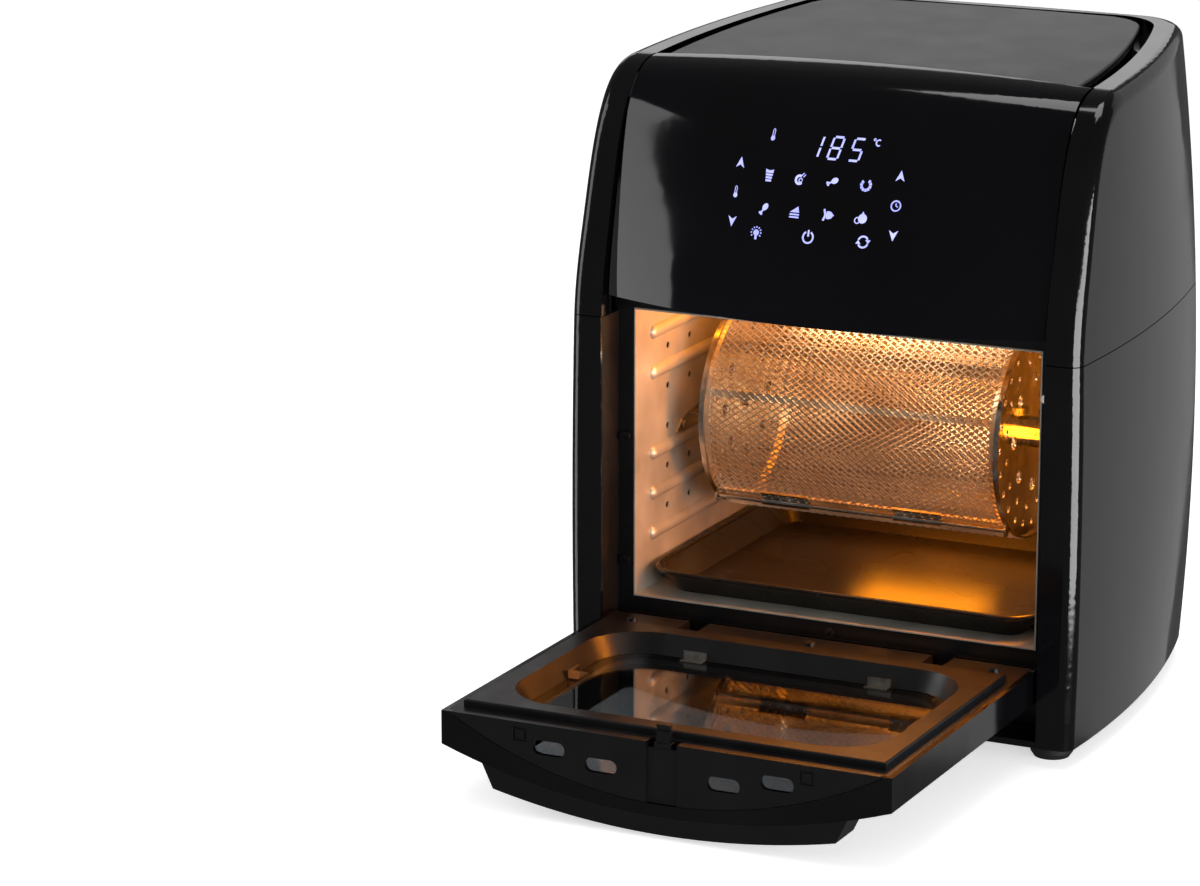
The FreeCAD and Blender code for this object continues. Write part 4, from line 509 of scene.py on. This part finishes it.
def curved_strip(form, x1, x2, r1, r2, low, high):
    """A solid strip bent round the spit, from low to high degrees, in millimetres."""
    count = max(2, int((high - low) / STRIP_STEP))
    rings = []
    for i in range(count + 1):
        a = math.radians(low + (high - low) * i / count)
        rings.append([form.verts.new((x * MM, SPIT_Y - r * MM * math.cos(a), SPIT_Z + r * MM * math.sin(a)))
                      for x, r in ((x1, r1), (x2, r1), (x2, r2), (x1, r2))])
    for first, second in zip(rings, rings[1:]):
        for k in range(4):
            form.faces.new((first[k], first[(k + 1) % 4], second[(k + 1) % 4], second[k]))
    form.faces.new(rings[0])
    form.faces.new(rings[-1][::-1])


def basket_piece(name, node, body, low, high, strips):
    """A mesh-walled part of the basket, with its solid borders, in place of its plain sheet."""
    corner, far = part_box(node)
    x1, x2 = corner.x / MM, far.x / MM
    sweep = math.radians(high - low)
    mesh = grown(MESH_TREE, {
        "Start": corner.x, "Length": far.x - corner.x, "Columns": round((x2 - x1) / CELL_LONG),
        "Rows": round(sweep * SHEET_R / MM / CELL_ROUND), "Low angle": math.radians(low), "Sweep": sweep,
        "Radius": SHEET_R, "Strand width": STRAND_WIDTH * MM, "Strand depth": STRAND_DEPTH * MM,
        "Material": FINISHES["mesh_steel"]})
    form = bmesh.new()
    for strip in strips:
        curved_strip(form, *strip)
    for a, b in ((x1, x1 + END_BAND), (x2 - END_BAND, x2)):
        curved_strip(form, a, b, BAND_IN, BAND_OUT, low, high)
    bmesh.ops.recalc_face_normals(form, faces=form.faces)
    form.from_mesh(mesh)
    joined = bpy.data.meshes.new(name)
    form.to_mesh(joined)
    form.free()
    bpy.data.meshes.remove(mesh)
    obj = finished(name, joined, body, FINISHES["mesh_steel"])
    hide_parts(node)


def basket():
    """The drum and the hatch. A strip has its ends in x and its radii in mm, then its arc in degrees."""
    basket_piece("basket_wall", "basket_drum", "spit", 75.8, 307.2, [
        (-98.5, 81, 60, 61.2, 303, 307.4),
        (-98.5, 81, 60, 61.2, 75.6, 80),
        (-98.5, 81, 58.9, 60.1, 159, 167)])
    basket_piece("hatch_wall", "basket_hatch", "hatch", -51.2, 74.2, [
        (-97.9, 80.4, 60, 61.3, -51.4, -47),
        (-97.9, 80.4, 60, 61.3, 70, 74.4),
        (-97.9, 80.4, 58.8, 60.1, 14.5, 18.5)])


MESH_TREE = mesh_tree()
dress_cad()
touch_symbols()
basket()


# ---------------------------------------------------------------- stage, light and camera

WORLD_LIT, WORLD_MIRRORED = 0.45, 0.09   # the backdrop's strength, and what a gloss surface sees of it
WARM, MOUTH = "#ff9012", "#ffe0b8"       # the lit cavity, and the light at its mouth
SENSOR_MM, LENS_MM = 36, 134.34
AZIMUTH, ELEVATION = 26.13, 14.43        # degrees


def stage():
    """A plain pale floor, and a pale backdrop that the gloss hardly mirrors."""
    mesh = bpy.data.meshes.new("floor")
    mesh.from_pydata([(-6, -5, 0), (6, -5, 0), (6, 7, 0), (-6, 7, 0)], [], [(0, 1, 2, 3)])
    floor = bpy.data.objects.new("floor", mesh)
    bpy.context.scene.collection.objects.link(floor)
    mesh.materials.append(surface("studio_floor", "#f4f4f4", 0.6, [
        (900, 2.0, EVEN, {"Roughness": (0.55, 0.7)}),
    ], Emission_Strength=0.6, Emission_Color=(1, 1, 1, 1)))
    floor.visible_glossy = False
    world = bpy.data.worlds.new("studio")
    world.use_nodes = True
    tree = world.node_tree
    mirrored = add(tree, "ShaderNodeLightPath").outputs["Is Glossy Ray"]
    strength = add(tree, "ShaderNodeMapRange", {"Value": mirrored, "To Min": WORLD_LIT,
                                                "To Max": WORLD_MIRRORED}).outputs[0]
    tree.nodes["Background"].inputs["Color"].default_value = (1, 1, 1, 1)
    tree.links.new(strength, tree.nodes["Background"].inputs["Strength"])
    bpy.context.scene.world = world


def softbox(name, at, target, size, watts, colour="#ffffff"):
    """A rectangular lamp that faces its target, with places and sizes in metres."""
    light = bpy.data.lights.new(name, "AREA")
    light.shape = "RECTANGLE"
    light.size, light.size_y = size
    light.energy = watts
    light.color = rgb(colour)[:3]
    obj = bpy.data.objects.new(name, light)
    obj.location = at
    obj.rotation_euler = (Vector(target) - Vector(at)).to_track_quat("-Z", "Y").to_euler()
    bpy.context.scene.collection.objects.link(obj)
    return obj


def lights():
    softbox("top_box", (0.1, 0.1, 2.2), (0, 0, 0.2), (1.2, 0.9), 12)
    softbox("lid_box", (-0.85, 1.7, 0.93), (0, 0.05, 0.38), (1.5, 0.34), 1.6)
    softbox("right_box", (1.45, -0.68, 0.1), (0, 0, 0.2), (1.5, 0.9), 33)
    softbox("side_box", (0.75, 1.7, 0.5), (0, 0, 0.25), (1.5, 2.4), 3.4)
    softbox("left_box", (-1.62, -0.74, 0.45), (0, 0, 0.3), (0.8, 2.2), 12)
    fill = softbox("front_fill", (0.5, -2.4, 1.3), (0, -0.1, 0.15), (1.2, 0.9), 4)
    fill.visible_glossy = False
    softbox("roof_glow", (-0.03, -0.02, 0.243), (-0.06, 0.0, 0.0), (0.16, 0.12), 0.5, WARM)
    softbox("wall_glow", (0.118, -0.095, 0.15), (-0.2, -0.03, 0.15), (0.02, 0.13), 0.7, WARM)
    softbox("tray_glow", (0.0, 0.03, 0.092), (0.0, 0.035, 0.0), (0.08, 0.05), 0.16, WARM)
    softbox("mouth_glow", (-0.01, -0.098, 0.224), (-0.01, -0.0, 0.15), (0.13, 0.016), 0.12, MOUTH)


def camera():
    """The view from the front right and a little above."""
    data = bpy.data.cameras.new("camera")
    data.sensor_width, data.lens = SENSOR_MM, LENS_MM
    obj = bpy.data.objects.new("camera", data)
    obj.location = (0.957, -2.358, 0.7925)
    obj.rotation_euler = (math.pi / 2 - math.radians(ELEVATION), 0, math.radians(AZIMUTH))
    bpy.context.scene.collection.objects.link(obj)
    bpy.context.scene.camera = obj
    data.clip_start, data.clip_end = 0.01, 100


stage()
lights()
camera()
bpy.context.scene.view_settings.view_transform = "Standard"
